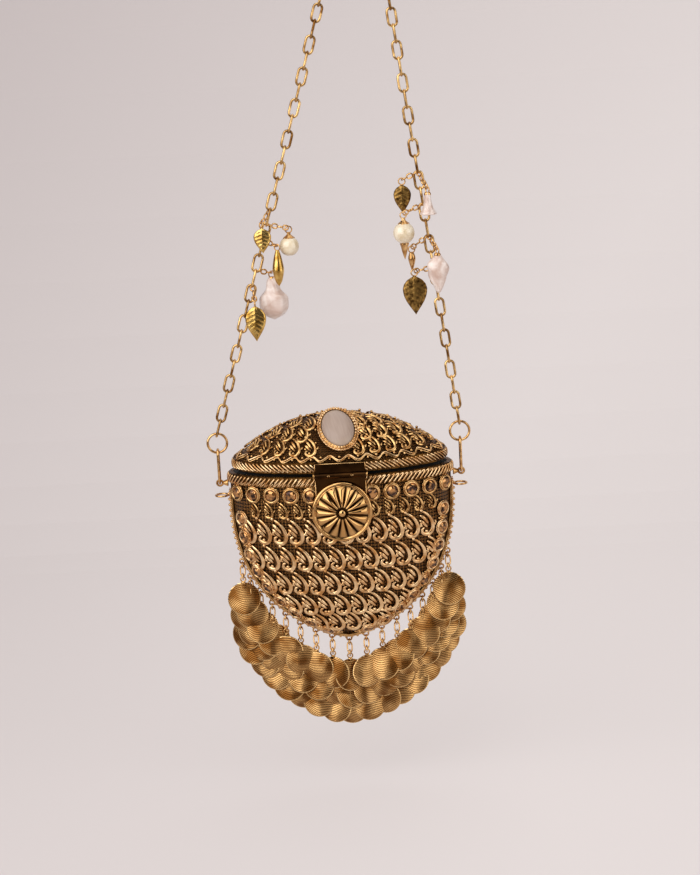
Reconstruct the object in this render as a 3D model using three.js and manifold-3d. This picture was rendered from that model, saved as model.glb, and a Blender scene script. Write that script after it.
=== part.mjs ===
// A small hard evening pouch ("potli") of gilt metal, as it hangs from its chain.
// A shield-shaped scoop of two pressed shells closes with a domed lid that is hinged at the back.
// The lid carries an oval cabochon, and a flap with a fluted button that drops over a catch.
// A fringe of round discs hangs from the seam, and charms hang from the chain.
// Millimetres, +Z up, the front faces -Y. The origin is the middle link of the chain, where the bag is hung.
import * as THREE from 'three';
import Module from 'manifold-3d';
import { mergeVertices } from 'three/addons/utils/BufferGeometryUtils.js';

const wasm = await Module();
wasm.setup();

// Driving dimensions of the scoop and the lid, measured from the centre of the rim.
const RIM_HALF_WIDTH = 62;
const RIM_HALF_DEPTH = 27;
const SCOOP_DEPTH = 100;
const COLLAR = 8; // upright part of the wall under the rim
const WALL = 1;
const AROUND = 28; // facets round the scoop, the lid and their bands, the same for all that nest
const LINING = 0.8;
const GAP = 0.3; // clearance between pieces that seat on each other
const BAND_THICK = 1.5;
const BAND_HEIGHT = 6;
const MOUTH_GAP = 2; // slit between the rim and the lid
const LID_NARROW = 2.6; // the lid is this much narrower at each end, to pass between the side rings
const LID_BAND_THICK = 1.2;
const LID_RISE = 22;
const LIP = 3.2; // how far the lining stands above the rim
const SEAM_TRIM_WIDTH = 5;
const SEAM_TRIM_THICK = 1.4;

// Fringe.
const DROPS = 17;
const FRINGE_START = 52; // depth below the rim of the first and last drop
const DISC_RADIUS = 9.5;
const DISC_THICK = 0.45;
const DISC_ROWS = 3;
const ROW_PITCH = 11.6;
const EAR_RADIUS = 1.8;
const EAR_HOLE = 0.95;
const DISC_SIDES = 11;
const LAYER = 0.85; // depth step from one drop to the next, so that the discs overlap like scales
const ROW_LAYER = 4 * LAYER;
const DROP_LINK = 9.5;
const EYELET_RADIUS = 1.5;
const FINE_WIRE = 0.9;
const TIE = 0.5; // half the width of a lower disc's neck

// Chain.
const LINK_PITCH = 9;
const LINK_WIDTH = 5.8;
const LINK_WIRE = 1.1;
const LINK_BITE = 0.12; // links of a strand bear on each other by this much
const LEFT_LINKS = 36;
const RIGHT_LINKS = 34;
const HANG_ACROSS = 27; // how far to the right of the bag's middle the chain is hung

// Side fittings.
const LUG_OUT = 69; // distance of each side loop from the middle of the bag
const LUG_HEIGHT = -6.4;
const LOOP_LENGTH = 21;
const LOOP_BOW = 2.6;
const LOOP_WIRE = 1.5;
const LUG_WIRE = 1.2;
const RING_OUTER = 12.4;
const RING_WIRE = 1.4;
const SIDE_RING_HEIGHT = -14;
const BALANCE = -1.78; // the eyes stand this far forward, over the bag's centre of gravity

// Hinge and clasp.
const KNUCKLE = 1.5;
const PIN = 0.65;
const LEAF_THICK = 0.9;
const HINGE_HALF = 15;
const HINGE_LEAF = 7;
const CLASP_HALF = 14.3;
const CLASP_TONGUE = 7;
const FLAP_LENGTH = 27;
const BUTTON_RADIUS = 17;
const BUTTON_DROP = 20.6; // from the clasp's pin to the button's centre
const BUTTON_RISE = 5;
const FLUTES = 16;
const CATCH_RADIUS = 6;

// Cabochon on the lid.
const STONE_WIDTH = 18;
const STONE_LENGTH = 25;
const STONE_RISE = 5;
const STONE_BACK = -15; // where it sits on the front slope
const STONE_LEAN = 46; // degrees that its face leans back from upright
const STONE_TURN = 14;

const gold = (color = 0xb9893f, roughness = 0.32) =>
  new THREE.MeshStandardMaterial({ color, roughness, metalness: 1 });
const GILT = gold();
const OLD_GILT = gold(0x8a6427, 0.42);
const DISC_GILT = gold(0xb98b45, 0.38);
const BRIGHT_GILT = gold(0xc99a45, 0.2);
const VELVET = new THREE.MeshStandardMaterial({ color: 0x14100d, roughness: 0.95, metalness: 0 });
const CAT_EYE = new THREE.MeshStandardMaterial({ color: 0xb7a49a, roughness: 0.15, metalness: 0 });
const PEARL = new THREE.MeshStandardMaterial({ color: 0xe9dcc4, roughness: 0.25, metalness: 0 });
const SHELL_WHITE = new THREE.MeshStandardMaterial({ color: 0xe2cfc6, roughness: 0.35, metalness: 0 });

const root = new THREE.Group();
const bag = new THREE.Group();
const strap = new THREE.Group(); // what hangs from the chain, and the eyes that hold the bag
root.add(bag);
bag.add(strap);
strap.position.y = BALANCE;

// Solids: a mesh's positions alone make a closed body that can be joined and cut.
function solid(geometry) {
  const bare = new THREE.BufferGeometry();
  bare.setAttribute('position', geometry.getAttribute('position'));
  if (geometry.index) bare.setIndex(geometry.index);
  const merged = mergeVertices(bare, 1e-4);
  const index = merged.index.array;
  const kept = [];
  for (let i = 0; i < index.length; i += 3) {
    const [a, b, c] = [index[i], index[i + 1], index[i + 2]];
    if (a !== b && b !== c && a !== c) kept.push(a, b, c);
  }
  const vertProperties = merged.attributes.position.array;
  const facing = (triVerts) => new wasm.Manifold(new wasm.Mesh({ numProp: 3, vertProperties, triVerts }));
  const made = facing(new Uint32Array(kept));
  return made.volume() < 0 ? facing(new Uint32Array(kept.reverse())) : made;
}

function geometryOf(body) {
  const mesh = body.getMesh();
  const made = new THREE.BufferGeometry();
  made.setAttribute('position', new THREE.BufferAttribute(new Float32Array(mesh.vertProperties), 3));
  made.setIndex(new THREE.BufferAttribute(new Uint32Array(mesh.triVerts), 1));
  return made;
}

const join = (geometries) => geometryOf(geometries.map(solid).reduce((a, b) => a.add(b)));
const cut = (geometry, tools) =>
  geometryOf(tools.map(solid).reduce((a, b) => a.subtract(b), solid(geometry)));

function add(name, geometry, material, group = bag) {
  const mesh = new THREE.Mesh(geometryOf(solid(geometry)), material);
  mesh.name = name;
  group.add(mesh);
  return mesh;
}

// A closed skin over rows of points: each row runs round the body, and the last row joins the first.
function skin(rows) {
  const columns = rows[0].length;
  const index = [];
  for (let i = 0; i < rows.length; i++) {
    const next = (i + 1) % rows.length;
    for (let j = 0; j < columns; j++) {
      const side = (j + 1) % columns;
      const [a, b, c, d] = [i * columns + j, i * columns + side, next * columns + side, next * columns + j];
      index.push(a, b, c, a, c, d);
    }
  }
  const made = new THREE.BufferGeometry();
  made.setAttribute('position', new THREE.BufferAttribute(new Float32Array(rows.flat(2)), 3));
  made.setIndex(index);
  return made;
}

// One row of points round an ellipse.
function ring(halfWidth, halfDepth, z, segments = AROUND) {
  return Array.from({ length: segments }, (_, j) => {
    const turn = (2 * Math.PI * j) / segments;
    return [halfWidth * Math.cos(turn), halfDepth * Math.sin(turn), z];
  });
}

// Elliptical section of the scoop at a depth below the rim, pulled in by an inset.
function scoopAxes(depth, inset = 0) {
  const fall = Math.max(0, (depth - COLLAR) / (SCOOP_DEPTH - inset - COLLAR));
  const narrow = Math.pow(Math.max(0, 1 - Math.pow(fall, 2.8)), 0.68);
  const thin = Math.pow(Math.max(0, 1 - Math.pow(fall, 2)), 0.62);
  return [(RIM_HALF_WIDTH - inset) * narrow, (RIM_HALF_DEPTH - inset) * thin];
}

// Rows of points down the scoop, closer together towards its point.
function scoopRows(inset, steps = 9) {
  const bottom = SCOOP_DEPTH - inset;
  const depths = [0, COLLAR, ...Array.from({ length: steps - 1 }, (_, i) => {
    const share = (i + 1) / (steps - 1);
    return COLLAR + (bottom - COLLAR) * Math.sin((share * Math.PI) / 2);
  })];
  return depths.map((depth) => ring(...scoopAxes(depth, inset), -depth));
}

// One pressed half of the scoop, with its wall thickness.
function halfScoop(side) {
  const scoop = skin([...scoopRows(0), ...scoopRows(WALL).reverse()]);
  const otherHalf = new THREE.BoxGeometry(200, 100, 260);
  otherHalf.translate(0, side * (GAP / 2 - 50), 0);
  return cut(scoop, [otherHalf]);
}
add('shell_front', halfScoop(-1), GILT);
add('shell_back', halfScoop(1), GILT);

// Lining: a flocked liner that follows the scoop and stands up past the rim.
function liner() {
  const lip = (inset, z) => ring(RIM_HALF_WIDTH - LID_NARROW - inset, RIM_HALF_DEPTH - inset, z);
  const rows = (inset) => [lip(inset, LIP), lip(inset, MOUTH_GAP - 2 * GAP), ...scoopRows(inset)];
  return skin([...rows(WALL + GAP), ...rows(WALL + GAP + LINING).reverse()]);
}
add('lining', liner(), VELVET);

// Plaited bands round the rim and the lid's mouth.
const BAND_OUT = GAP + BAND_THICK;
const LID_BASE = MOUTH_GAP + BAND_HEIGHT;
function band(low, high, narrow, thick) {
  const hoop = (out, z) => ring(RIM_HALF_WIDTH - narrow + out, RIM_HALF_DEPTH + out, z);
  return skin([hoop(GAP, low), hoop(GAP + thick, low), hoop(GAP + thick, high), hoop(GAP, high)]);
}
add('rim_band', band(-BAND_HEIGHT, 0, 0, BAND_THICK), OLD_GILT);
add('lid_band', band(MOUTH_GAP, LID_BASE, LID_NARROW, LID_BAND_THICK), OLD_GILT);

// Lid: a low dome whose skirt stands inside its band.
const domeHeight = (share, inset) => LID_BASE + (LID_RISE - inset) * (1 - Math.pow(share, 2.1));
function domeRows(inset, skirt, steps = 6) {
  const a = RIM_HALF_WIDTH - LID_NARROW - inset;
  const b = RIM_HALF_DEPTH - inset;
  const hoop = (share, z) => ring(a * share, b * share, z);
  const curve = Array.from({ length: steps + 1 }, (_, i) => {
    const share = Math.cos((i / steps) * (Math.PI / 2));
    return hoop(share, domeHeight(share, inset));
  });
  return [hoop(1, skirt), ...curve];
}
const dome = (inset, thick, skirt) =>
  skin([...domeRows(inset, skirt), ...domeRows(inset + thick, skirt).reverse()]);
add('lid_shell', dome(0, WALL, MOUTH_GAP), GILT);
add('lid_lining', dome(WALL + GAP, LINING, LIP + 1.2), VELVET);

// The seam line down one side of the scoop, round its point and up the other side.
function seamPoint(turn, out) {
  const depth = SCOOP_DEPTH * Math.sin(turn);
  const [a] = scoopAxes(Math.min(depth, SCOOP_DEPTH - 1e-6));
  return new THREE.Vector2(a + out * Math.cos(turn), -depth - out * Math.sin(turn));
}
function seamLine(out, startDepth, steps = 80) {
  const first = Math.asin(startDepth / SCOOP_DEPTH);
  const right = [];
  for (let i = 0; i <= steps; i++) {
    right.push(seamPoint(first + ((Math.PI / 2 - first) * i) / steps, out));
  }
  const left = right.slice(0, -1).map((p) => new THREE.Vector2(-p.x, p.y)).reverse();
  right[right.length - 1].x = 0;
  return [...right, ...left];
}
// Points at equal distances along a line.
function spaced(line, count) {
  const along = [0];
  for (let i = 1; i < line.length; i++) along.push(along[i - 1] + line[i].distanceTo(line[i - 1]));
  const total = along[along.length - 1];
  return Array.from({ length: count }, (_, k) => {
    const at = (total * k) / (count - 1);
    let i = 1;
    while (i < line.length - 1 && along[i] < at) i++;
    const share = (at - along[i - 1]) / (along[i] - along[i - 1]);
    return line[i - 1].clone().lerp(line[i], share);
  });
}

// A ring of wire in the XZ plane, stretched along Z into a long link when straight is over zero.
function wireLoop(bow, wire, straight = 0, sides = 4, segments = 6) {
  const ring = new THREE.TorusGeometry(bow, wire / 2, sides, segments);
  ring.rotateZ(Math.PI / segments);
  ring.rotateX(Math.PI / 2);
  const at = ring.getAttribute('position');
  for (let i = 0; i < at.count; i++) {
    at.setZ(i, at.getZ(i) + (Math.sign(at.getZ(i)) * straight) / 2);
  }
  return ring;
}

// Seam trim: a strip bent round the seam, with the eyelets that carry the fringe.
const SEAM_OUT = GAP + 0.15;
const eyelets = spaced(seamLine(SEAM_OUT + SEAM_TRIM_THICK + EYELET_RADIUS - 0.2, FRINGE_START), DROPS).reverse();
function seamTrim() {
  const top = BAND_HEIGHT + GAP + 4;
  const outside = spaced(seamLine(SEAM_OUT + SEAM_TRIM_THICK, top), 33);
  const inside = spaced(seamLine(SEAM_OUT, top), 33).reverse();
  const strip = new THREE.ExtrudeGeometry(new THREE.Shape([...outside, ...inside]), {
    depth: SEAM_TRIM_WIDTH, bevelEnabled: false, steps: 1,
  });
  strip.rotateX(Math.PI / 2);
  strip.translate(0, SEAM_TRIM_WIDTH / 2, 0);
  const loops = eyelets.map((p) => {
    const loop = wireLoop(EYELET_RADIUS, FINE_WIRE);
    loop.translate(p.x, 0, p.y);
    return loop;
  });
  return join([strip, ...loops]);
}
add('seam_trim', seamTrim(), GILT);

// A long link in the plane of its own length and the Y axis, from one bearing point to another.
function drapedLink(from, to, wire, bow) {
  const run = new THREE.Vector3().subVectors(to, from);
  const straight = run.length() - 2 * bow;
  const link = wireLoop(bow, wire, straight);
  link.rotateZ(Math.PI / 2);
  const turn = new THREE.Quaternion().setFromUnitVectors(new THREE.Vector3(0, 0, -1), run.clone().normalize());
  link.applyQuaternion(turn);
  const middle = from.clone().add(to).multiplyScalar(0.5);
  link.translate(middle.x, middle.y, middle.z);
  return link;
}

// One disc: round, drawn up to an ear with the hole it hangs by, or to a long neck behind the disc above.
function disc(neck) {
  const centre = -(DISC_RADIUS + EAR_RADIUS + 0.4);
  const ear = [[EAR_RADIUS, 0], [EAR_RADIUS * 0.6, EAR_RADIUS * 0.8], [-EAR_RADIUS * 0.6, EAR_RADIUS * 0.8], [-EAR_RADIUS, 0]];
  const outline = neck ? [[TIE, neck], [-TIE, neck]] : ear;
  const first = THREE.MathUtils.degToRad(neck ? 94 : 112);
  for (let i = 0; i < DISC_SIDES; i++) {
    const turn = first + ((3 * Math.PI - 2 * first) * i) / (DISC_SIDES - 1);
    outline.push([DISC_RADIUS * Math.cos(turn), centre + DISC_RADIUS * Math.sin(turn)]);
  }
  const shape = new THREE.Shape(outline.map(([x, y]) => new THREE.Vector2(x, y)));
  const hole = [[EAR_HOLE, 0], [0, -EAR_HOLE], [-EAR_HOLE, 0], [0, EAR_HOLE]];
  if (!neck) shape.holes.push(new THREE.Path(hole.map(([x, y]) => new THREE.Vector2(x, y))));
  const made = new THREE.ExtrudeGeometry(shape, { depth: DISC_THICK, bevelEnabled: false, steps: 1 });
  made.translate(0, 0, -DISC_THICK / 2);
  made.rotateX(Math.PI / 2);
  return made;
}

// Fringe: each drop hangs by a link and is a string of three discs, one below and behind the other.
// The drops overlap like scales: each lies in front of its neighbour nearer the middle.
const WIRE_SEAT = 0.2; // height of the link's end above an ear's centre
const LINK_BOW = 1.35;
const MIDDLE_BACK = 1; // the middle drop lies behind both its neighbours
function drop(k) {
  const eyelet = eyelets[k];
  const across = eyelet.x;
  const order = k - (DROPS - 1) / 2;
  const lean = (LAYER * (DROPS - 1)) / (eyelets[DROPS - 1].x - eyelets[0].x);
  const layer = order ? lean * Math.abs(across) - LAYER * Math.abs(order) : MIDDLE_BACK;
  const depthOf = (row) => layer + ROW_LAYER * (row - 1);
  const bow = new THREE.Vector3(across, 0, eyelet.y - 0.3);
  const seat = new THREE.Vector3(across, depthOf(0) + LINK_BOW, bow.z - DROP_LINK);
  const pieces = [drapedLink(bow, seat, FINE_WIRE, LINK_BOW)];
  const joint = -EAR_HOLE - TIE - 0.4; // where a neck is tied to the disc in front, below that disc's hole
  for (let row = 0; row < DISC_ROWS; row++) {
    const neckTop = row === 1 ? ROW_PITCH + joint + TIE : ROW_PITCH - TIE;
    const plate = disc(row && neckTop);
    plate.rotateZ(Math.sign(order) * Math.atan(lean));
    const height = seat.z - WIRE_SEAT - ROW_PITCH * row;
    plate.translate(across, depthOf(row), height);
    pieces.push(plate);
    if (row === 0) continue;
    const tieHeight = height + neckTop - TIE;
    const tie = new THREE.BoxGeometry(1.6 * TIE, ROW_LAYER, 1.6 * TIE);
    tie.translate(across, (depthOf(row - 1) + depthOf(row)) / 2, tieHeight);
    pieces.push(tie);
  }
  return join(pieces);
}
for (let k = 0; k < DROPS; k++) {
  add(`fringe_drop_${String(k + 1).padStart(2, '0')}`, drop(k), DISC_GILT);
}

// Side fittings: an eye on the seam, a long loop through it, a round ring through the loop.
const LOOP_CENTRES = LOOP_LENGTH - 2 * LOOP_BOW - LOOP_WIRE;
const LOOP_LOW = LUG_HEIGHT + LOOP_BOW; // centre of the loop's lower bow, about which the bag swings
const LOOP_TOP = LOOP_LOW + LOOP_CENTRES + LOOP_BOW;
const RING_BOW = (RING_OUTER - RING_WIRE) / 2;
const RING_CENTRE = LOOP_TOP - LOOP_WIRE / 2 - GAP - RING_WIRE / 2 + RING_BOW;
for (const [side, name] of [[-1, 'left'], [1, 'right']]) {
  const eye = new THREE.TorusGeometry(LOOP_WIRE / 2 + GAP + LUG_WIRE / 2, LUG_WIRE / 2, 6, 12);
  eye.rotateX(Math.PI / 2);
  eye.translate(side * LUG_OUT, 0, LUG_HEIGHT);
  const stemStart = RIM_HALF_WIDTH + BAND_OUT + GAP;
  const stemEnd = LUG_OUT - LOOP_WIRE / 2 - GAP - 0.2;
  const stem = new THREE.BoxGeometry(stemEnd - stemStart, 3.4, 4);
  stem.translate((side * (stemEnd + stemStart)) / 2, 0, LUG_HEIGHT);
  add(`side_eye_${name}`, join([eye, stem]), GILT, strap);

  const loop = wireLoop(LOOP_BOW, LOOP_WIRE, LOOP_CENTRES, 6, 12);
  loop.rotateZ(Math.PI / 2);
  loop.translate(side * LUG_OUT, 0, LOOP_LOW + LOOP_CENTRES / 2);
  add(`side_loop_${name}`, loop, BRIGHT_GILT, strap);

  const hoop = new THREE.TorusGeometry(RING_BOW, RING_WIRE / 2, 6, 16);
  hoop.rotateX(Math.PI / 2);
  hoop.translate(side * LUG_OUT, 0, RING_CENTRE);
  add(`round_ring_${name}`, hoop, BRIGHT_GILT, strap);

  const spare = new THREE.TorusGeometry(3.6, 0.6, 6, 12);
  spare.translate(side * (RIM_HALF_WIDTH + BAND_OUT + 4.5), 0, SIDE_RING_HEIGHT);
  add(`spare_ring_${name}`, spare, BRIGHT_GILT);
}

// Chain: two strands of long links, hung by a link that lies level between their heads.
// A link is a rectangle of flat-sided wire, in the XZ plane with its length along Z.
function chainLink(pitch) {
  const hoop = (inset, y) => {
    const a = LINK_WIDTH / 2 - inset;
    const h = (pitch - LINK_BITE) / 2 + LINK_WIRE - inset;
    return [[a, y, -h], [a, y, h], [-a, y, h], [-a, y, -h]];
  };
  const half = LINK_WIRE / 2;
  return skin([hoop(0, -half), hoop(0, half), hoop(LINK_WIRE, half), hoop(LINK_WIRE, -half)]);
}

const FOOT_HEIGHT = RING_CENTRE + RING_BOW - RING_WIRE / 2 - GAP;
const HANG_HALF = (LINK_PITCH + LINK_WIRE) / 2; // from the middle of the level link to its end wires
const RIGHT_RUN = RIGHT_LINKS * LINK_PITCH;
const HANG_HEIGHT = Math.sqrt(RIGHT_RUN ** 2 - (LUG_OUT - HANG_ACROSS - HANG_HALF) ** 2);
const strands = {
  left: {
    foot: new THREE.Vector3(-LUG_OUT, 0, FOOT_HEIGHT),
    head: new THREE.Vector3(HANG_ACROSS - HANG_HALF, 0, FOOT_HEIGHT + HANG_HEIGHT),
    links: LEFT_LINKS,
    carriers: [],
  },
  right: {
    foot: new THREE.Vector3(LUG_OUT, 0, FOOT_HEIGHT),
    head: new THREE.Vector3(HANG_ACROSS + HANG_HALF, 0, FOOT_HEIGHT + HANG_HEIGHT),
    links: RIGHT_LINKS,
    carriers: [],
  },
};
// Where two links of a strand bear on each other, counted up from its foot.
const bearing = ({ foot, head, links }, i) => foot.clone().lerp(head, i / links);

const hangLink = chainLink(LINK_PITCH);
hangLink.rotateY(Math.PI / 2);
hangLink.rotateX(Math.PI / 2);
const HANG = new THREE.Vector3(HANG_ACROSS, 0, FOOT_HEIGHT + HANG_HEIGHT - LINK_WIRE / 2 - GAP - 0.15);
hangLink.translate(HANG.x, HANG.y, HANG.z);
add('hang_link', hangLink, BRIGHT_GILT, strap);

// Charms. Each hangs by its own ring from a short link that stands out from the strand.
const CARRIER_WIRE = 0.8;
const CARRIER_BOW = 1.5;
const CHARM_RING = 1.85;
const CHARM_WIRE = 0.7;
const RING_SLACK = CHARM_RING - CHARM_WIRE / 2 - GAP - CARRIER_WIRE / 2; // from the ring's centre up to its pivot

// A short link between two points, its width along a level direction.
function carrier(from, to, across) {
  const run = new THREE.Vector3().subVectors(to, from);
  const link = wireLoop(CARRIER_BOW, CARRIER_WIRE, run.length() - 2 * CARRIER_BOW + CARRIER_WIRE / 2);
  const along = run.clone().normalize();
  const basis = new THREE.Matrix4().makeBasis(across, new THREE.Vector3().crossVectors(along, across), along);
  link.applyMatrix4(basis);
  const middle = to.clone().addScaledVector(run, -0.5).addScaledVector(along, -CARRIER_WIRE / 4);
  link.translate(middle.x, middle.y, middle.z);
  return link;
}

// Its pieces are given from the top of the body at the origin, hanging down.
function charm(name, side, [x, y, z], pieces, material) {
  const strand = strands[side];
  const pivot = new THREE.Vector3(x, y, z + CHARM_RING - 0.2 + RING_SLACK);
  const perLink = bearing(strand, 1).z - strand.foot.z;
  const anchor = bearing(strand, Math.ceil((pivot.z + 1 - strand.foot.z) / perLink));
  const out = new THREE.Vector3(pivot.x - anchor.x, pivot.y, 0).normalize();
  const across = new THREE.Vector3(out.y, -out.x, 0);
  strand.carriers.push(carrier(anchor, pivot, across));
  const loop = wireLoop(CHARM_RING, CHARM_WIRE, 0, 4, 8);
  loop.rotateZ(Math.atan2(out.y, out.x));
  loop.translate(pivot.x, pivot.y, pivot.z - RING_SLACK);
  for (const piece of pieces) piece.translate(x, y, z);
  add(name, join([loop, ...pieces]), material, strap);
}

// A turned body from radius and height pairs, flattened front to back by a share.
function turned(profile, flat = 1, segments = 10) {
  const made = new THREE.LatheGeometry(profile.map(([r, z]) => new THREE.Vector2(r, z)), segments);
  made.rotateX(Math.PI / 2);
  made.scale(1, flat, 1);
  return made;
}

// A cast leaf with a mid rib.
function leaf(width, length, thick = 1.1) {
  const shape = new THREE.Shape();
  shape.moveTo(0, 0);
  shape.quadraticCurveTo(width * 0.62, -length * 0.2, width * 0.48, -length * 0.48);
  shape.quadraticCurveTo(width * 0.38, -length * 0.76, 0, -length);
  shape.quadraticCurveTo(-width * 0.38, -length * 0.76, -width * 0.48, -length * 0.48);
  shape.quadraticCurveTo(-width * 0.62, -length * 0.2, 0, 0);
  const plate = new THREE.ExtrudeGeometry(shape, { depth: thick, bevelEnabled: false, curveSegments: 3, steps: 1 });
  plate.translate(0, 0, -thick / 2);
  plate.rotateX(Math.PI / 2);
  const rib = new THREE.CylinderGeometry(0.5, 0.35, length - 2, 4);
  rib.rotateX(Math.PI / 2);
  rib.translate(0, -thick / 2, -length / 2);
  return [plate, rib];
}

// A pearl under a turned cap, with a turned drop below it when one is given.
function pearl(radius, tail = []) {
  const round = new THREE.SphereGeometry(radius, 12, 8);
  round.rotateX(Math.PI / 2);
  round.translate(0, 0, -radius - 2.2);
  const cap = turned([[0, 0.2], [0.9, 0.2], [1.2, -1.2], [3.2, -3], [2.6, -3.4], [0, -3.6]]);
  return [round, cap, ...tail];
}

charm('charm_leaf_ribbed', 'left', [-36.2, -6, 138.4], leaf(10, 14), GILT);
charm('charm_pearl_left', 'left', [-21.7, -1, 134.7], pearl(5.5), PEARL);
charm('charm_seed', 'left', [-28.4, -6, 125.5],
  [turned([[0, 0.3], [1, 0], [2.2, -4], [3.1, -9], [3.1, -12], [1.9, -17], [0, -20]])], BRIGHT_GILT);
charm('charm_tulip', 'left', [-32.4, 2.6, 109.7],
  [turned([[0, 0.2], [2, 0], [3.4, -2.5], [4.2, -7], [8.4, -12], [8.2, -17], [5.6, -21], [0, -24]], 0.6)],
  SHELL_WHITE);
charm('charm_leaf_veined', 'left', [-42.6, -7, 95.4], leaf(12, 20), GILT);
charm('charm_leaf_slim', 'right', [42.6, 1.5, 157.8], leaf(10, 16), GILT);
charm('charm_bell', 'right', [56.2, -8, 153.3],
  [turned([[0, 0.2], [1.4, 0], [1.9, -4], [2.8, -8], [4.6, -11.4], [4.2, -12], [0, -12.4]])], SHELL_WHITE);
charm('charm_pearl_right', 'right', [42.4, -4, 139.6],
  pearl(6, [turned([[0, -13.6], [2.4, -14], [1.4, -19], [0, -23]])]), PEARL);
charm('charm_spike', 'right', [46.4, 3, 119.5],
  [turned([[0, 0.2], [1.1, 0], [2.1, -3], [1.6, -6], [0, -11]])], GILT);
charm('charm_leaf_dark', 'right', [47.3, 0, 106.8], leaf(14, 22), OLD_GILT);
charm('charm_conch', 'right', [60.2, -8.4, 119.5],
  [turned([[0, 0.2], [1.2, 0], [3, -2.4], [5.4, -5], [6.4, -8], [5.6, -12], [3.4, -17], [1.4, -21], [0, -22]], 0.66)],
  SHELL_WHITE);

function strandOf({ foot, head, links, carriers }) {
  const lean = new THREE.Quaternion().setFromUnitVectors(
    new THREE.Vector3(0, 0, 1), new THREE.Vector3().subVectors(head, foot).normalize(),
  );
  const pitch = foot.distanceTo(head) / links;
  const made = [];
  for (let i = 0; i < links; i++) {
    const link = chainLink(pitch);
    if (i % 2 === 0) link.rotateZ(Math.PI / 2);
    link.applyQuaternion(lean);
    const middle = foot.clone().lerp(head, (i + 0.5) / links);
    link.translate(middle.x, middle.y, middle.z);
    made.push(link);
  }
  return join([...made, ...carriers]);
}
add('chain_left', strandOf(strands.left), BRIGHT_GILT, strap);
add('chain_right', strandOf(strands.right), BRIGHT_GILT, strap);

// Hinges: a leaf on the fixed side, a leaf on the moving side and the pin through their knuckles.
// Built with the pin along X at the origin; the pieces it joins lie towards -Y.
function knuckles(spans) {
  return spans.map(([from, to]) => {
    const barrel = new THREE.CylinderGeometry(KNUCKLE, KNUCKLE, to - from, 10);
    barrel.rotateZ(Math.PI / 2);
    barrel.translate((from + to) / 2, 0, 0);
    return barrel;
  });
}
const box = (x0, x1, y0, y1, z0, z1) => {
  const made = new THREE.BoxGeometry(x1 - x0, y1 - y0, z1 - z0);
  made.translate((x0 + x1) / 2, (y0 + y1) / 2, (z0 + z1) / 2);
  return made;
};
function hingeLeaf(half, spans, length, up) {
  const clear = KNUCKLE + GAP;
  const [low, high] = up > 0 ? [clear, length] : [-length, -clear];
  const [near, far] = up > 0 ? [0, clear + 0.1] : [-clear - 0.1, 0];
  const plate = box(-half, half, -KNUCKLE, -KNUCKLE + LEAF_THICK, low, high);
  const tabs = spans.map(([from, to]) => box(from, to, -KNUCKLE, -KNUCKLE + LEAF_THICK, near, far));
  const bore = new THREE.CylinderGeometry(PIN + GAP, PIN + GAP, 3 * half, 10);
  bore.rotateZ(Math.PI / 2);
  return cut(join([plate, ...tabs, ...knuckles(spans)]), [bore]);
}
function hingePin(half) {
  const pin = new THREE.CylinderGeometry(PIN, PIN, 2 * half + 1.6, 10);
  const heads = [-1, 1].map((end) => {
    const knob = new THREE.CylinderGeometry(KNUCKLE - 0.2, KNUCKLE - 0.2, 0.7, 10);
    knob.translate(0, end * (half + 0.65), 0);
    return knob;
  });
  const made = join([pin, ...heads]);
  made.rotateZ(Math.PI / 2);
  return made;
}
function place(geometry, back, y, z) {
  if (!back) geometry.rotateZ(Math.PI);
  geometry.translate(0, y, z);
  return geometry;
}
const HINGE_OUT = RIM_HALF_DEPTH + BAND_OUT + GAP + KNUCKLE;
const HINGE_HEIGHT = MOUTH_GAP / 2;
const third = HINGE_HALF / 3;
const outer = [[-HINGE_HALF, -third - GAP / 2], [third + GAP / 2, HINGE_HALF]];
const inner = [[-third + GAP / 2, third - GAP / 2]];
add('hinge_leaf_body',
  place(hingeLeaf(HINGE_HALF, outer, HINGE_LEAF, -1), true, HINGE_OUT, HINGE_HEIGHT), OLD_GILT);
add('hinge_leaf_lid',
  place(hingeLeaf(HINGE_HALF, inner, HINGE_LEAF, 1), true, HINGE_OUT, HINGE_HEIGHT), OLD_GILT);
add('hinge_pin', place(hingePin(HINGE_HALF), true, HINGE_OUT, HINGE_HEIGHT), GILT);

// Clasp: a bracket on the lid, and a flap that hangs from it and carries the button.
const claspMiddle = [[-6.4, 6.4]];
const claspEnds = [[-CLASP_HALF, -6.7], [6.7, CLASP_HALF]];
add('clasp_bracket',
  place(hingeLeaf(CLASP_HALF, claspMiddle, CLASP_TONGUE, 1), false, -HINGE_OUT, HINGE_HEIGHT), OLD_GILT);
add('clasp_flap',
  place(hingeLeaf(CLASP_HALF, claspEnds, FLAP_LENGTH, -1), false, -HINGE_OUT, HINGE_HEIGHT), OLD_GILT);
add('clasp_pin', place(hingePin(CLASP_HALF), false, -HINGE_OUT, HINGE_HEIGHT), GILT);

const BUTTON_HEIGHT = HINGE_HEIGHT - BUTTON_DROP;
const FLAP_FRONT = -HINGE_OUT + KNUCKLE - LEAF_THICK;
const buttonFace = (geometry, off) => {
  geometry.rotateX(Math.PI / 2);
  geometry.translate(0, FLAP_FRONT - off, BUTTON_HEIGHT);
  return geometry;
};
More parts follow.
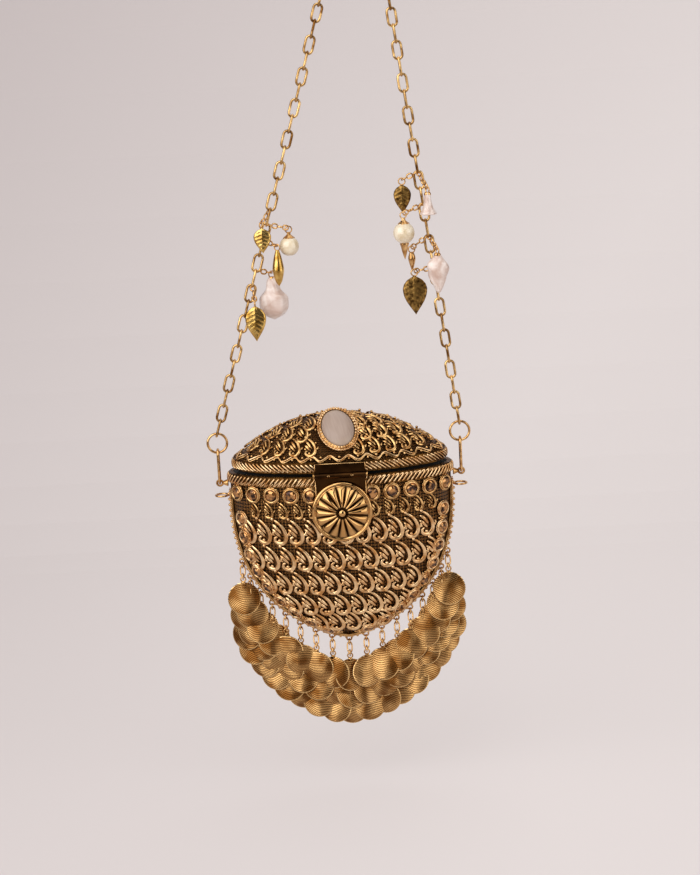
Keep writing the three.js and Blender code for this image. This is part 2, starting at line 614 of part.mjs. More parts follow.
// Turned out of the flap towards the front: a rimmed foot and a dome with flutes that run to its boss.
function button() {
  const columns = FLUTES * 2;
  const row = (radius, height, flute) => Array.from({ length: columns }, (_, j) => {
    const rise = flute * (j % 2);
    const turn = (2 * Math.PI * j) / columns;
    return [radius * Math.cos(turn), radius * Math.sin(turn), height + rise];
  });
  const foot = 1.7;
  const dome = BUTTON_RADIUS - 2;
  const hollow = BUTTON_RADIUS - 1.6; // pressed, so it is open at the back
  const inside = [row(0, foot + BUTTON_RISE - 2.2, 0), row(hollow * 0.6, foot + BUTTON_RISE - 3.4, 0)];
  const mouth = [row(hollow, 0.6, 0), row(hollow, 0, 0)];
  const rows = [...inside, ...mouth, row(BUTTON_RADIUS, 0, 0), row(BUTTON_RADIUS, foot, 0), row(dome + 0.3, foot + 0.3, 0)];
  for (const share of [1, 0.9, 0.7, 0.45, 0.2]) {
    const height = foot - 0.4 + BUTTON_RISE * Math.sqrt(1 - share * share * 0.92);
    rows.push(row(dome * share, height - 0.6, share < 0.3 ? 0 : 0.9));
  }
  rows.push(row(0, foot + BUTTON_RISE - 0.6, 0));
  return skin(rows);
}
add('clasp_button', buttonFace(button(), GAP), BRIGHT_GILT);
const catchStart = RIM_HALF_DEPTH + GAP;
const catchEnd = -FLAP_FRONT - LEAF_THICK - GAP;
const stud = new THREE.CylinderGeometry(CATCH_RADIUS, CATCH_RADIUS, catchEnd - catchStart, 16);
stud.translate(0, -(catchStart + catchEnd) / 2, BUTTON_HEIGHT);
add('catch_stud', stud, OLD_GILT);

// Cabochon: an oval stone in a rim whose underside is cut to the lid.
function onSlope(geometry) {
  geometry.rotateZ(THREE.MathUtils.degToRad(STONE_TURN));
  geometry.rotateX(THREE.MathUtils.degToRad(90 - STONE_LEAN));
  const share = -STONE_BACK / RIM_HALF_DEPTH;
  const lift = GAP + 0.3;
  const lean = THREE.MathUtils.degToRad(STONE_LEAN);
  geometry.translate(0, STONE_BACK - lift * Math.cos(lean), domeHeight(share, 0) + lift * Math.sin(lean));
  return geometry;
}
const oval = (out, z, shrink = 1) =>
  ring((STONE_WIDTH / 2 + out) * shrink, (STONE_LENGTH / 2 + out) * shrink, z, 24);
const stoneRows = [oval(0, 0, 0), oval(0, 0), oval(0, 1)];
for (const share of [0.94, 0.8, 0.55, 0.28, 0]) {
  stoneRows.push(oval(0, 1 + (STONE_RISE - 1) * Math.sqrt(1 - share * share), share));
}
add('stone', onSlope(skin(stoneRows)), CAT_EYE);
const rim = onSlope(skin([oval(GAP, -4), oval(1.6, -4), oval(1.6, 1.2), oval(GAP, 1.9)]));
const under = skin([ring(0, 0, MOUTH_GAP), ...domeRows(-GAP, MOUTH_GAP)]);
add('stone_rim', cut(rim, [under]), GILT);

bag.position.set(-HANG.x, -BALANCE, -HANG.z);
export default root;
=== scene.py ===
import math

import bmesh
import bpy
import numpy as np
from mathutils import Matrix, Vector


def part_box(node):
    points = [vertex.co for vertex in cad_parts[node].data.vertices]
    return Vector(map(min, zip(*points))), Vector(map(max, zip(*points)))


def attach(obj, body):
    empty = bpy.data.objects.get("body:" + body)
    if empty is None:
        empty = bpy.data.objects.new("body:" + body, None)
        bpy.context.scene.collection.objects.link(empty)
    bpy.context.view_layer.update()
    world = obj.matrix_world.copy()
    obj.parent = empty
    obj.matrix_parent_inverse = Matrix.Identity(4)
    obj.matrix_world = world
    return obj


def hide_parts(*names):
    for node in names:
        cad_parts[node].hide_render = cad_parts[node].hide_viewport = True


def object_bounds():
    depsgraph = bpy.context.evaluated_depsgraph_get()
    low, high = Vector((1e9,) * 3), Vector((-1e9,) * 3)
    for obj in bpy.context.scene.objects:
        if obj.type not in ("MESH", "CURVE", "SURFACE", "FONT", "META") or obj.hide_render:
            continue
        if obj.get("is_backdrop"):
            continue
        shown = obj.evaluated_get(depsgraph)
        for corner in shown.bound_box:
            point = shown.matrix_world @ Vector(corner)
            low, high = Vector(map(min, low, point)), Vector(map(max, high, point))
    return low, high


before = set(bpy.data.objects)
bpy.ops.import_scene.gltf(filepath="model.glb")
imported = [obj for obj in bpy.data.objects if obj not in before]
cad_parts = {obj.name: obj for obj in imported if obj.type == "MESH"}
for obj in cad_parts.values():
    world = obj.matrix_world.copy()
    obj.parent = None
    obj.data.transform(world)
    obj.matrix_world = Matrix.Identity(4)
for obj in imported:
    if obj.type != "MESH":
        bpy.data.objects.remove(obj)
cad_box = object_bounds()

# Camera: a long portrait lens a little above the pouch, which the photograph shows tilted by three degrees.
# The pouch is measured in millimetres from the middle of its rim, so the rim's box gives that point.
low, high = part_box("rim_band")
DATUM = Vector(((low.x + high.x) / 2, (low.y + high.y) / 2, high.z))


def at(x, y, z):
    return DATUM + Vector((x, y, z)) / 1000


def placed(name, data):
    made = bpy.data.objects.new(name, data)
    bpy.context.scene.collection.objects.link(made)
    return made


TILT = math.radians(3)
RISE = math.radians(12)
view = Vector((0, math.cos(RISE), -math.sin(RISE)))
level_up = Vector((0, math.sin(RISE), math.cos(RISE)))
cam_right = Vector((1, 0, 0)) * math.cos(TILT) - level_up * math.sin(TILT)
cam_up = Vector((1, 0, 0)) * math.sin(TILT) + level_up * math.cos(TILT)
PX_PER_MM = 1.75
aim = DATUM + cam_right * (10 / PX_PER_MM / 1000) + cam_up * (27.5 / PX_PER_MM / 1000)
lens = bpy.data.cameras.new("camera")
lens.lens = 85
lens.sensor_fit = "VERTICAL"
lens.sensor_height = 36
lens.sensor_width = 28.8
lens.clip_start = 0.05
distance = 875 / PX_PER_MM / 1000 * lens.lens / lens.sensor_height
camera = placed("camera", lens)
camera.matrix_world = Matrix.Translation(aim - view * distance) @ Matrix(
    (cam_right, cam_up, -view)
).transposed().to_4x4()
bpy.context.scene.camera = camera


# Studio: one pale paper sweep under and behind the pouch, and three soft lamps.
# The sweep stays pale to the camera and in the metal, is painted darker towards its upper left as shade, and
# keeps the soft shadow under the fringe.
def linear(code):
    parts = [int(code[i : i + 2], 16) / 255 for i in (1, 3, 5)]
    return tuple(p / 12.92 if p < 0.04045 else ((p + 0.055) / 1.055) ** 2.4 for p in parts) + (1,)


def add(tree, kind, inputs=None, **settings):
    made = tree.nodes.new(kind)
    for key, value in settings.items():
        setattr(made, key, value)
    for key, value in (inputs or {}).items():
        if isinstance(value, bpy.types.NodeSocket):
            tree.links.new(value, made.inputs[key])
        else:
            made.inputs[key].default_value = value
    return made


def blank(name):
    made = bpy.data.materials.new(name)
    made.use_nodes = True
    made.node_tree.nodes.clear()
    return made, made.node_tree


def maths(tree, operation, *values):
    return add(tree, "ShaderNodeMath", dict(enumerate(values)), operation=operation).outputs[0]


def ramp(tree, value, low, high, start=0.0, end=1.0):
    """Runs from start to end while the value runs from low to high."""
    limits = {"From Min": low, "From Max": high, "To Min": start, "To Max": end}
    return add(tree, "ShaderNodeMapRange", {"Value": value, **limits}).outputs[0]


def blend(tree, share, low, high):
    low, high = (linear(c) if isinstance(c, str) else c for c in (low, high))
    ends = {"Factor": share, "A": low, "B": high}
    return add(tree, "ShaderNodeMix", ends, data_type="RGBA").outputs[2]


def shown(tree, inputs, kind="ShaderNodeBsdfPrincipled"):
    add(tree, "ShaderNodeOutputMaterial", {"Surface": add(tree, kind, inputs).outputs[0]})


paper, tree = blank("matt_paper_sweep")
rays = add(tree, "ShaderNodeLightPath").outputs
seen = maths(tree, "MAXIMUM", rays["Is Camera Ray"], rays["Is Glossy Ray"])
seen = maths(tree, "MAXIMUM", seen, rays["Is Transmission Ray"])
place = add(tree, "ShaderNodeTexCoord").outputs["Object"]
split = add(tree, "ShaderNodeSeparateXYZ", {0: place}).outputs
# Painted shade: the sweep's colour darkens towards its left and its top, a painted falloff of light.
painted_vignette = maths(tree, "ADD", split["X"], maths(tree, "MULTIPLY", split["Z"], -0.9))
shade = blend(tree, ramp(tree, painted_vignette, -0.62, 0.55), "#beb3b2", "#e4dbd9")
matt = add(tree, "ShaderNodeBsdfDiffuse", {"Color": shade}).outputs[0]
glow = add(tree, "ShaderNodeEmission", {"Color": shade, "Strength": 1.0}).outputs[0]
glowing = maths(tree, "MULTIPLY", seen, 0.72)
shown(tree, {0: glowing, 1: matt, 2: glow}, "ShaderNodeMixShader")

FLOOR = -192  # millimetres below the rim
FLAT_TO, WALL, TALL, HALF_WIDE = 500, 1000, 2400, 2200  # the sweep's millimetres
BEND = WALL - FLAT_TO
profile = [(-900, FLOOR), (FLAT_TO, FLOOR)]
for a in np.linspace(0.1, math.pi / 2, 12):
    profile.append((FLAT_TO + BEND * math.sin(a), FLOOR + BEND - BEND * math.cos(a)))
profile += [(WALL, TALL)]
mesh = bpy.data.meshes.new("sweep")
corners = [at(x, y, z) for y, z in profile for x in (-HALF_WIDE, HALF_WIDE)]
strips = [(2 * i, 2 * i + 1, 2 * i + 3, 2 * i + 2) for i in range(len(profile) - 1)]
mesh.from_pydata(corners, [], strips)
mesh.materials.append(paper)
sweep = placed("sweep", mesh)
sweep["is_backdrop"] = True


def lamp(name, place, size, watts):
    light = bpy.data.lights.new(name, "AREA")
    light.shape = "RECTANGLE"
    light.size, light.size_y = size
    light.energy = watts
    made = placed(name, light)
    made.location = at(*place)
    made.rotation_euler = (at(0, 0, -30) - made.location).to_track_quat("-Z", "Y").to_euler()


lamp("key", (-820, -900, 640), (1.7, 1.7), 25)
lamp("fill", (1000, -700, 150), (1.0, 1.6), 10)
lamp("top", (60, 0, 1050), (1.6, 0.9), 7)

world = bpy.data.worlds.new("studio")
bpy.context.scene.world = world
world.use_nodes = True
tree = world.node_tree
tree.nodes.clear()
rays = add(tree, "ShaderNodeLightPath").outputs
room = {"Color": linear("#d9d4d2"), "Strength": 0.07}
card = {"Color": linear("#ded6d4"), "Strength": 1.0}
room, card = (add(tree, "ShaderNodeBackground", light).outputs[0] for light in (room, card))
mixed = add(tree, "ShaderNodeMixShader", {0: rays["Is Camera Ray"], 1: room, 2: card})
add(tree, "ShaderNodeOutputWorld", {"Surface": mixed.outputs[0]})
bpy.context.scene.view_settings.view_transform = "Standard"


# Gilt brass: cast and plated, then darkened and rubbed back, in random worn patches of a bright and a brown
# tone.
# One routine makes the plating; each use gives its own two tones, polish and grain.
def noise(tree, scale, detail, **more):
    place = add(tree, "ShaderNodeTexCoord").outputs["Object"]
    given = {"Vector": place, "Scale": scale, "Detail": detail, **more}
    return add(tree, "ShaderNodeTexNoise", given).outputs["Fac"]


def bumped(tree, height, strength, distance):
    given = {"Height": height, "Strength": strength, "Distance": distance}
    return add(tree, "ShaderNodeBump", given).outputs[0]


def plated(name, bright, dull, smooth, rough, bump=0.15, speckle=3.0):
    """speckle is the size of the worn patches in millimetres."""
    made, tree = blank(name)
    worn = noise(tree, 1000 / speckle, 3.0)
    grain = noise(tree, 1000 / 0.6, 2.0)
    look = {"Base Color": blend(tree, ramp(tree, worn, 0.35, 0.65), dull, bright), "Metallic": 1.0}
    look["Roughness"] = ramp(tree, worn, 0, 1, rough, smooth)
    look["Normal"] = bumped(tree, grain, bump, 0.0001)
    shown(tree, look)
    return made


def wear(name, finish):
    worn_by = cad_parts[name].data.materials
    worn_by.clear()
    worn_by.append(finish)


gilt = plated("satin_gilt_brass", "#d2a468", "#8c6032", 0.2, 0.42)
dark_gilt = plated("oxidised_gilt_brass", "#6e4a20", "#2e1c0c", 0.3, 0.5)
bright_gilt = plated("polished_gilt_brass", "#e4ba80", "#ae7e48", 0.1, 0.22, bump=0.03)
# Painted reflection: the clasp plates, catch and hinge are coloured near black, a painted dark reflection on
# their polished metal.
plate_painted_dark = plated("polished_dark_bronze", "#4a2f16", "#22140a", 0.1, 0.2, bump=0.03, speckle=14.0)
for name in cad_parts:
    if name.startswith(("fringe", "rim_band", "lid_band")):
        chosen = dark_gilt
    elif name.startswith(("clasp_f", "clasp_br", "catch", "hinge")):
        chosen = plate_painted_dark
    else:
        chosen = bright_gilt if name.startswith(("side", "round", "spare", "hang")) else gilt
    wear(name, chosen)


# Pressed shells of the pouch: two halves of woven brass wire stretched over a scoop.
# The wire is a millimetre apart; its colour is painted dark where the weave lies low, as shade on the wire's
# flanks, under its crossings and in the gaps; the scroll rows are soldered on later.
HALF_W, HALF_D, DEEP, COLLAR = 62, 27, 100, 8


def axes_at(depth, out=0.0):
    fall = min(max((depth - COLLAR) / (DEEP + out - COLLAR), 0), 1)
    return (
        (HALF_W + out) * (1 - fall**2.8) ** 0.68,
        (HALF_D + out) * (1 - fall**2) ** 0.62,
    )


def scoop(turn, depth, out=0.0):
    a, b = axes_at(depth, out)
    return np.array((a * math.cos(turn), b * math.sin(turn), -depth))


def lay_uv(mesh, uv):
    layer = mesh.uv_layers.new(name="UVMap")
    for loop in mesh.loops:
        layer.data[loop.index].uv = uv[loop.vertex_index]


def keep(made, body, hides):
    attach(made, body)
    if hides:
        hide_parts(*hides)
    return made


def new_piece(name, verts, faces, body, finish, uv=None, slot=None, hides=()):
    mesh = bpy.data.meshes.new(name)
    mesh.from_pydata([at(*v) for v in verts], [], faces)
    if uv is not None:
        lay_uv(mesh, uv)
    mesh.shade_smooth()
    mesh.materials.append(finish)
    return keep(placed(name, mesh), body, hides)


def uv_of(tree):
    return add(tree, "ShaderNodeUVMap", uv_map="UVMap").outputs[0]


mesh_wire, tree = blank("woven_brass_wire")
split = add(tree, "ShaderNodeSeparateXYZ", {0: uv_of(tree)}).outputs
heights = []
for axis in (0, 1):
    across = maths(tree, "MULTIPLY", split[axis], math.pi)
    along = maths(tree, "MULTIPLY", split[1 - axis], math.pi)
    wire = maths(tree, "ABSOLUTE", maths(tree, "SINE", across))
    over = maths(tree, "COSINE", maths(tree, "ADD", along, math.pi / 2 * axis))
    heights.append(maths(tree, "ADD", wire, maths(tree, "MULTIPLY", over, 0.22)))
height = maths(tree, "MAXIMUM", *heights)
# Painted shade: near black where the weave lies low, gilt on the crests.
colour = blend(tree, ramp(tree, height, 0.84, 1.16), "#150a04", "#9a6b3a")
relief = bumped(tree, height, 0.9, 0.0004)
shown(tree, {"Base Color": colour, "Metallic": 0.9, "Roughness": 0.38, "Normal": relief})


def sheet_of(rows, closed=False):
    verts = [p for row in rows for p in row]
    n = len(rows[0])
    faces = []
    for i in range(len(rows) - 1):
        for j in range(n if closed else n - 1):
            k = (j + 1) % n
            faces.append((i * n + j, i * n + k, (i + 1) * n + k, (i + 1) * n + j))
    return verts, faces


def capped(rows):
    """A closed sheet with its first and last row filled."""
    verts, faces = sheet_of(rows, closed=True)
    n = len(rows[0])
    return verts, [*faces, tuple(reversed(range(n))), tuple(len(verts) - n + k for k in range(n))]


def lengths(line):
    """How far along the line each of its points lies."""
    return np.concatenate([[0], np.cumsum(np.linalg.norm(np.diff(line, axis=0), axis=1))])


def face_outward(mesh, weld=0.0):
    bm = bmesh.new()
    bm.from_mesh(mesh)
    if weld:
        bmesh.ops.remove_doubles(bm, verts=bm.verts, dist=weld)
    bmesh.ops.recalc_face_normals(bm, faces=bm.faces)
    bm.to_mesh(mesh)
    bm.free()


HALF_TURN = math.pi / 2 - 0.006  # each shell stops just short of the seam
INNER_DEEP = 98.9
depths = [0, 4, 8] + [8 + 92 * math.sin(s * math.pi / 2) for s in np.linspace(0.04, 0.999, 34)]
for side, name in ((-1, "shell_front"), (1, "shell_back")):
    turns = [side * math.pi / 2 + s for s in np.linspace(-HALF_TURN, HALF_TURN, 65)]
    rows = [[scoop(t, d) for t in turns] for d in depths]
    inner = [[scoop(t, min(d, INNER_DEEP), -1) for t in turns] for d in depths]
    verts, faces = sheet_of(rows)
    skin, more = sheet_of(inner)
    count = len(verts)
    n = len(turns)
    faces += [tuple(count + k for k in reversed(f)) for f in more]
    faces += [(j, j + count, j + count + 1, j + 1) for j in range(n - 1)]
    for i in range(0, n * (len(rows) - 1), n):
        faces.append((i, i + n, i + n + count, i + count))
        last = i + n - 1
        faces.append((last, last + count, last + n + count, last + n))
    uv = []
    down = lengths([row[n // 2] for row in rows])
    for i, row in enumerate(rows):
        steps = lengths(row)
        uv += [(s - steps[n // 2], down[i]) for s in steps]
    verts += skin
    shell = new_piece(name + "_woven", verts, faces, "bag", mesh_wire, uv + uv, "gilt", (name,))
    face_outward(shell.data, weld=1e-6)


# Soldered ornament: every small part is stamped once and set in rows on the shells and the lid.
# A row of points carries where each part sits and how it is turned; the same tree sets them all.
def given_tree(name, *wanted):
    """A tree that takes a mesh and the wanted values, and hands back one mesh."""
    tree = bpy.data.node_groups.new(name, "GeometryNodeTree")
    for label, kind in (("Geometry", "Geometry"), *wanted):
        tree.interface.new_socket(label, in_out="INPUT", socket_type="NodeSocket" + kind)
    tree.interface.new_socket("Geometry", in_out="OUTPUT", socket_type="NodeSocketGeometry")
    return tree, add(tree, "NodeGroupInput").outputs


def hand_back(tree, geometry, finish):
    real = add(tree, "GeometryNodeRealizeInstances", {0: geometry}).outputs[0]
    done = add(tree, "GeometryNodeSetMaterial", {"Geometry": real, "Material": finish})
    add(tree, "NodeGroupOutput", {0: done.outputs[0]})


values = ("Part", "Object"), ("Finish", "Material"), ("Size", "Float")
set_in_rows, given = given_tree("set_in_rows", *values)
part = add(set_in_rows, "GeometryNodeObjectInfo", {"Object": given["Part"]})
turn, scale = (
    add(set_in_rows, "GeometryNodeInputNamedAttribute", {"Name": label}, data_type="FLOAT_VECTOR")
    for label in ("turn", "size")
)
turn = add(set_in_rows, "FunctionNodeEulerToRotation", {0: turn.outputs[0]}).outputs[0]
scale = {0: scale.outputs[0], "Scale": given["Size"]}
scale = add(set_in_rows, "ShaderNodeVectorMath", scale, operation="SCALE").outputs[0]
spots = {"Points": given["Geometry"], "Instance": part.outputs["Geometry"]}
spots.update({"Rotation": turn, "Scale": scale})
spots = add(set_in_rows, "GeometryNodeInstanceOnPoints", spots).outputs[0]
hand_back(set_in_rows, spots, given["Finish"])


def grown(name, start, tree, values, body, finish, hides=()):
    """Runs a tree on a start mesh and keeps the result as one plain piece."""
    host = placed(name, start)
    modifier = host.modifiers.new("build", "NODES")
    modifier.node_group = tree
    values = {**values, "Finish": finish}
    for item in tree.interface.items_tree:
        if item.item_type == "SOCKET" and item.in_out == "INPUT" and item.name in values:
            modifier[item.identifier] = values[item.name]
    ready = host.evaluated_get(bpy.context.evaluated_depsgraph_get())
    made = bpy.data.meshes.new_from_object(ready)
    host.modifiers.clear()
    host.data = made
    made.materials.clear()
    made.materials.append(finish)
    return keep(host, body, hides)


def set_parts(name, part, spots, body, finish, hides=(), size=1.0, smooth=True):
    """part is (verts, faces[, uv]) in millimetres; a spot is (point, along, out[, size])."""
    stamp = bpy.data.meshes.new(name + "_part")
    stamp.from_pydata([tuple(c / 1000 for c in v) for v in part[0]], [], part[1])
    if len(part) > 2:
        lay_uv(stamp, part[2])
    if smooth:
        stamp.shade_smooth()
    tool = placed(name + "_part", stamp)
    points = bpy.data.meshes.new(name)
    points.from_pydata([at(*s[0]) for s in spots], [], [])
    turns = points.attributes.new("turn", "FLOAT_VECTOR", "POINT")
    sizes = points.attributes.new("size", "FLOAT_VECTOR", "POINT")
    for i, spot in enumerate(spots):
        out = Vector(spot[2]).normalized()
        along = Vector(spot[1])
        along = (along - out * along.dot(out)).normalized()
        turns.data[i].vector = Matrix((along, out.cross(along), out)).transposed().to_euler()
        sizes.data[i].vector = spot[3] if len(spot) > 3 else (1.0, 1.0, 1.0)
    values = {"Part": tool, "Size": size}
    made = grown(name, points, set_in_rows, values, body, finish, hides)
    bpy.data.objects.remove(tool)
    return made


def tube(path, radius, sides=6, flat=1.0, closed=False):
    """A wire along a path; radius may be a list. flat squashes it along the third axis."""
    path = [np.array(p, float) for p in path]
    n = len(path)
    radii = radius if isinstance(radius, (list, tuple, np.ndarray)) else [radius] * n
    verts, faces, normal = [], [], None
    for i, p in enumerate(path):
        ahead = path[(i + 1) % n] if closed or i < n - 1 else p
        behind = path[i - 1] if closed or i > 0 else p
        tangent = ahead - behind
        tangent = tangent / (np.linalg.norm(tangent) or 1)
        if normal is None:
            normal = np.array((0, 0, 1.0) if abs(tangent[2]) < 0.9 else (0, 1.0, 0))
        normal = normal - tangent * np.dot(normal, tangent)
        normal = normal / np.linalg.norm(normal)
        side = np.cross(tangent, normal)
        for k in range(sides):
            a = math.tau * k / sides
            verts.append(p + radii[i] * (normal * flat * math.sin(a) + side * math.cos(a)))
    rounds = n if closed else n - 1
    for i in range(rounds):
        j = (i + 1) % n
        for k in range(sides):
            m = (k + 1) % sides
            faces.append((i * sides + k, i * sides + m, j * sides + m, j * sides + k))
    if not closed:
        faces.append(tuple(range(sides))[::-1])
        faces.append(tuple((n - 1) * sides + k for k in range(sides)))
    return verts, faces


def turned(profile, segments=16):
    """A body turned about the third axis from (radius, height) pairs, from its bottom to its top."""
    turns = [math.tau * j / segments for j in range(segments)]
    rows = [[(r * math.cos(a), r * math.sin(a), z) for a in turns] for r, z in profile]
    verts, faces = sheet_of(rows, closed=True)
    count = len(verts)
    verts += [(0, 0, profile[0][1]), (0, 0, profile[-1][1])]
    last = (len(profile) - 1) * segments
    for j in range(segments):
        k = (j + 1) % segments
        faces.append((count, k, j))
        faces.append((count + 1, last + j, last + k))
    return verts, faces


def ball(radius, centre=(0, 0, 0), segments=8, rings=5):
    tilts = np.linspace(0.35, math.pi - 0.35, rings)
    profile = [(radius * math.sin(a), centre[2] - radius * math.cos(a)) for a in tilts]
    verts, faces = turned(profile, segments)
    return [(x + centre[0], y + centre[1], z) for x, y, z in verts], faces


def together(*parts):
    verts, faces = [], []
    for v, f in parts:
        faces += [tuple(i + len(verts) for i in face) for face in f]
        verts += [tuple(p) for p in v]
    return verts, faces


def smooth_path(points, steps=4):
    """Catmull-Rom curve through the points."""
    pts = [np.array(p, float) for p in points]
    pts = [2 * pts[0] - pts[1], *pts, 2 * pts[-1] - pts[-2]]
    out = []
    for i in range(1, len(pts) - 2):
        p0, p1, p2, p3 = pts[i - 1 : i + 3]
        for s in np.linspace(0, 1, steps, endpoint=False):
            second = (2 * p0 - 5 * p1 + 4 * p2 - p3) * s * s
            third = (3 * p1 - p0 - 3 * p2 + p3) * s**3
            out.append(0.5 * (2 * p1 + (p2 - p0) * s + second + third))
    return [*out, pts[-2]]


# Scroll: a leaf cast in relief, with slanted lobes inside its bend, a curl at its foot and shot balls.
# It is laid out flat, first axis to the right, second axis up the pouch, third axis out.
outline = [(-2.9, 6.3, 0.4), (-0.8, 5.2, 0.9), (1.7, 2.7, 1.0), (3.2, -0.5, 1.0), (3.4, -3.5, 1.0)]
outline += [(1.9, -5.9, 0.9), (-0.7, -6.3, 0.8), (-2.7, -5.0, 0.8), (-2.6, -3.3, 0.8)]
outline = smooth_path([*outline, (-1.3, -2.7, 0.7)], 3)
swell = [0.45 + 0.75 * math.sin(math.pi * k / (len(outline) - 1)) for k in range(len(outline))]
lobe = [0.3, 0.65, 0.9, 1.0, 0.95, 0.75, 0.35]
scroll = together(
    tube(outline, swell, 8, flat=0.65),
    tube(smooth_path([(-4.0, 4.3, 0.3), (-1.6, 2.5, 1.2), (1.2, -1.2, 0.7)], 3), lobe, 6, flat=0.75),
    tube(smooth_path([(-4.3, 1.6, 0.3), (-2.3, 0.2, 1.1), (0.6, -3.0, 0.7)], 3), lobe, 6, flat=0.75),
    tube([(-4.2, -0.8, 0.3), (-3.2, -1.4, 0.8), (-2.4, -2.2, 0.5)], [0.3, 0.7, 0.3], 6),
    ball(0.95, (-3.4, 7.0, 0.8)),
    ball(0.9, (-0.3, -4.6, 1.0)),
    tube([(3.3, -1.4, 0.6), (4.7, -1.5, 0.8), (5.4, -0.4, 0.7), (5.0, 0.6, 0.3)], [0.75, 0.75, 0.6, 0.3], 6),
)
burnished = plated("burnished_gilt_scroll", "#e6ba7c", "#83562a", 0.12, 0.3, speckle=3.4)
scroll_gilt = plated("rubbed_gilt_wire", "#f2cf9e", "#bd8952", 0.16, 0.38, speckle=5.0)


def spot_on(turn, depth, out):
    """A point of the pouch, the level direction there and the outward one."""
    here = scoop(turn, depth, out)
    along = scoop(turn + 1e-3, depth, out) - scoop(turn - 1e-3, depth, out)
    down = scoop(turn, depth + 0.3, out) - scoop(turn, max(depth - 0.3, 0), out)
    normal = np.cross(along, down)
    inward = np.dot(normal, (here[0], here[1] * 3, 0)) < 0
    return here, along, -normal if inward else normal


def row_spots(depth, pitch, shift, out, trim):
    """Even spots round the whole pouch at one depth, leaving the two seams free by trim."""
    spots = []
    turns = np.linspace(-math.pi / 2, math.pi / 2, 241)
    for side in (-math.pi / 2, math.pi / 2):
        steps = lengths([scoop(side + t, depth, out) for t in turns])
        middle = steps[-1] / 2
        count = int((middle - trim) / pitch) + 1
        for k in range(-count, count + 1):
            where = middle + (k + shift) * pitch
            if trim <= where <= steps[-1] - trim:
                spots.append(spot_on(side + np.interp(where, steps, turns), depth, out))
    return spots


scroll_spots = []
for depth, shift in ((31.8, 0.15), (47.8, 0.55), (63, 0.2), (77, 0.7), (88.5, 0.3)):
    scroll_spots += row_spots(depth, 9.4, shift, out=0.25, trim=18 - depth * 0.11)
set_parts("scroll_rows", scroll, scroll_spots, "bag", scroll_gilt, size=1.1)
hooks = row_spots(19.4, 8.6, 0.1, out=0.25, trim=17)
set_parts("scroll_hooks", scroll, hooks, "bag", burnished, size=0.7)


# Crystals under the rim: foiled glass in cups of thin wire, with shot balls between them.
# Champagne and topaz glass; the foil behind throws the light back.
topaz, tree = blank("foiled_topaz_glass")
colour = blend(tree, ramp(tree, noise(tree, 420.0, 1.0), 0.4, 0.6), "#341a0c", "#c08a52")
coat = {"Coat Weight": 0.3, "Coat Roughness": 0.02, "Coat IOR": 1.6}
shown(tree, {"Base Color": colour, "Metallic": 0.9, "Roughness": 0.1, **coat})


def brilliant(radius, height, base):
    """Table, crown and girdle of a round stone with eight-fold facets."""
    rings = [(radius, base, 16, 0), (radius * 0.82, base + height * 0.6, 16, 0.5)]
    verts, faces = [], []
    for r, z, n, s in [*rings, (radius * 0.5, base + height, 8, 0.25)]:
        turns = [math.tau * (k + s) / n for k in range(n)]
        verts += [(r * math.cos(a), r * math.sin(a), z) for a in turns]
    for k in range(16):
        faces.append((k, (k + 1) % 16, 16 + k))
        faces.append((16 + k, (k + 1) % 16, 16 + (k + 1) % 16))
    for k in range(8):
        faces.append((16 + 2 * k, 16 + (2 * k + 1) % 16, 32 + k))
        faces.append((32 + k, 16 + (2 * k + 1) % 16, 16 + (2 * k + 2) % 16, 32 + (k + 1) % 8))
    faces.append(tuple(32 + k for k in range(8)))
    faces.append(tuple(range(15, -1, -1)))
    return verts, faces


def around(n):
    return np.linspace(0, math.tau, n, endpoint=False)


def ring_points(radius, z, n, deep=None):
    """Points round a circle, or round an oval where deep is its half along the second axis."""
    return [(radius * math.cos(a), (deep or radius) * math.sin(a), z) for a in around(n)]


def hoop(radius, wire, height=0.0, segments=20, sides=6):
    return tube(ring_points(radius, height, segments), wire, sides, closed=True)


def off_clasp(spots, reach):
    """Leaves out the spots of the front that lie under the clasp."""
    return [s for s in spots if abs(s[0][0]) > reach or s[0][1] > 0]


shot = [ball(0.5, p, 6, 3) for p in ring_points(4.3, 0.6, 12, deep=4.25)]
cup = together(hoop(3.6, 0.62, 1.1), hoop(4.2, 0.5, 0.4), *shot)
stones = off_clasp(row_spots(10.6, 11.4, 0.5, out=0.9, trim=6.0), 17)
between = off_clasp(row_spots(7.2, 5.7, 0.5, out=0.9, trim=4.0), 14)
set_parts("crystal_cups", cup, stones, "bag", bright_gilt, size=1.06)
set_parts("crystals", brilliant(3.5, 1.9, 0.5), stones, "bag", topaz, smooth=False)
set_parts("rim_shot", ball(0.85), between, "bag", bright_gilt)


# Plaited edges: a flattened, slanted coil of round wire along the rim, and one along the lid's mouth.
# The two slant against each other like a plait, and their back turns show crossing in the gaps.
values = ("Wire radius", "Float"), ("Finish", "Material")
wound_wire, given = given_tree("wound_wire", *values)
line = add(wound_wire, "GeometryNodeMeshToCurve", {0: given["Geometry"]}).outputs[0]
section = {"Resolution": 6, "Radius": given["Wire radius"]}
section = add(wound_wire, "GeometryNodeCurvePrimitiveCircle", section).outputs[0]
wire = {"Curve": line, "Profile Curve": section, "Fill Caps": True}
wire = add(wound_wire, "GeometryNodeCurveToMesh", wire).outputs[0]
wire = add(wound_wire, "GeometryNodeSetShadeSmooth", {0: wire}).outputs[0]
hand_back(wound_wire, wire, given["Finish"])


def wind(name, path, radius, body, finish, closed=False):
    mesh = bpy.data.meshes.new(name)
    edges = [(i, i + 1) for i in range(len(path) - 1)] + ([(len(path) - 1, 0)] if closed else [])
    mesh.from_pydata([at(*p) for p in path], edges, [])
    return grown(name, mesh, wound_wire, {"Wire radius": radius / 1000}, body, finish)


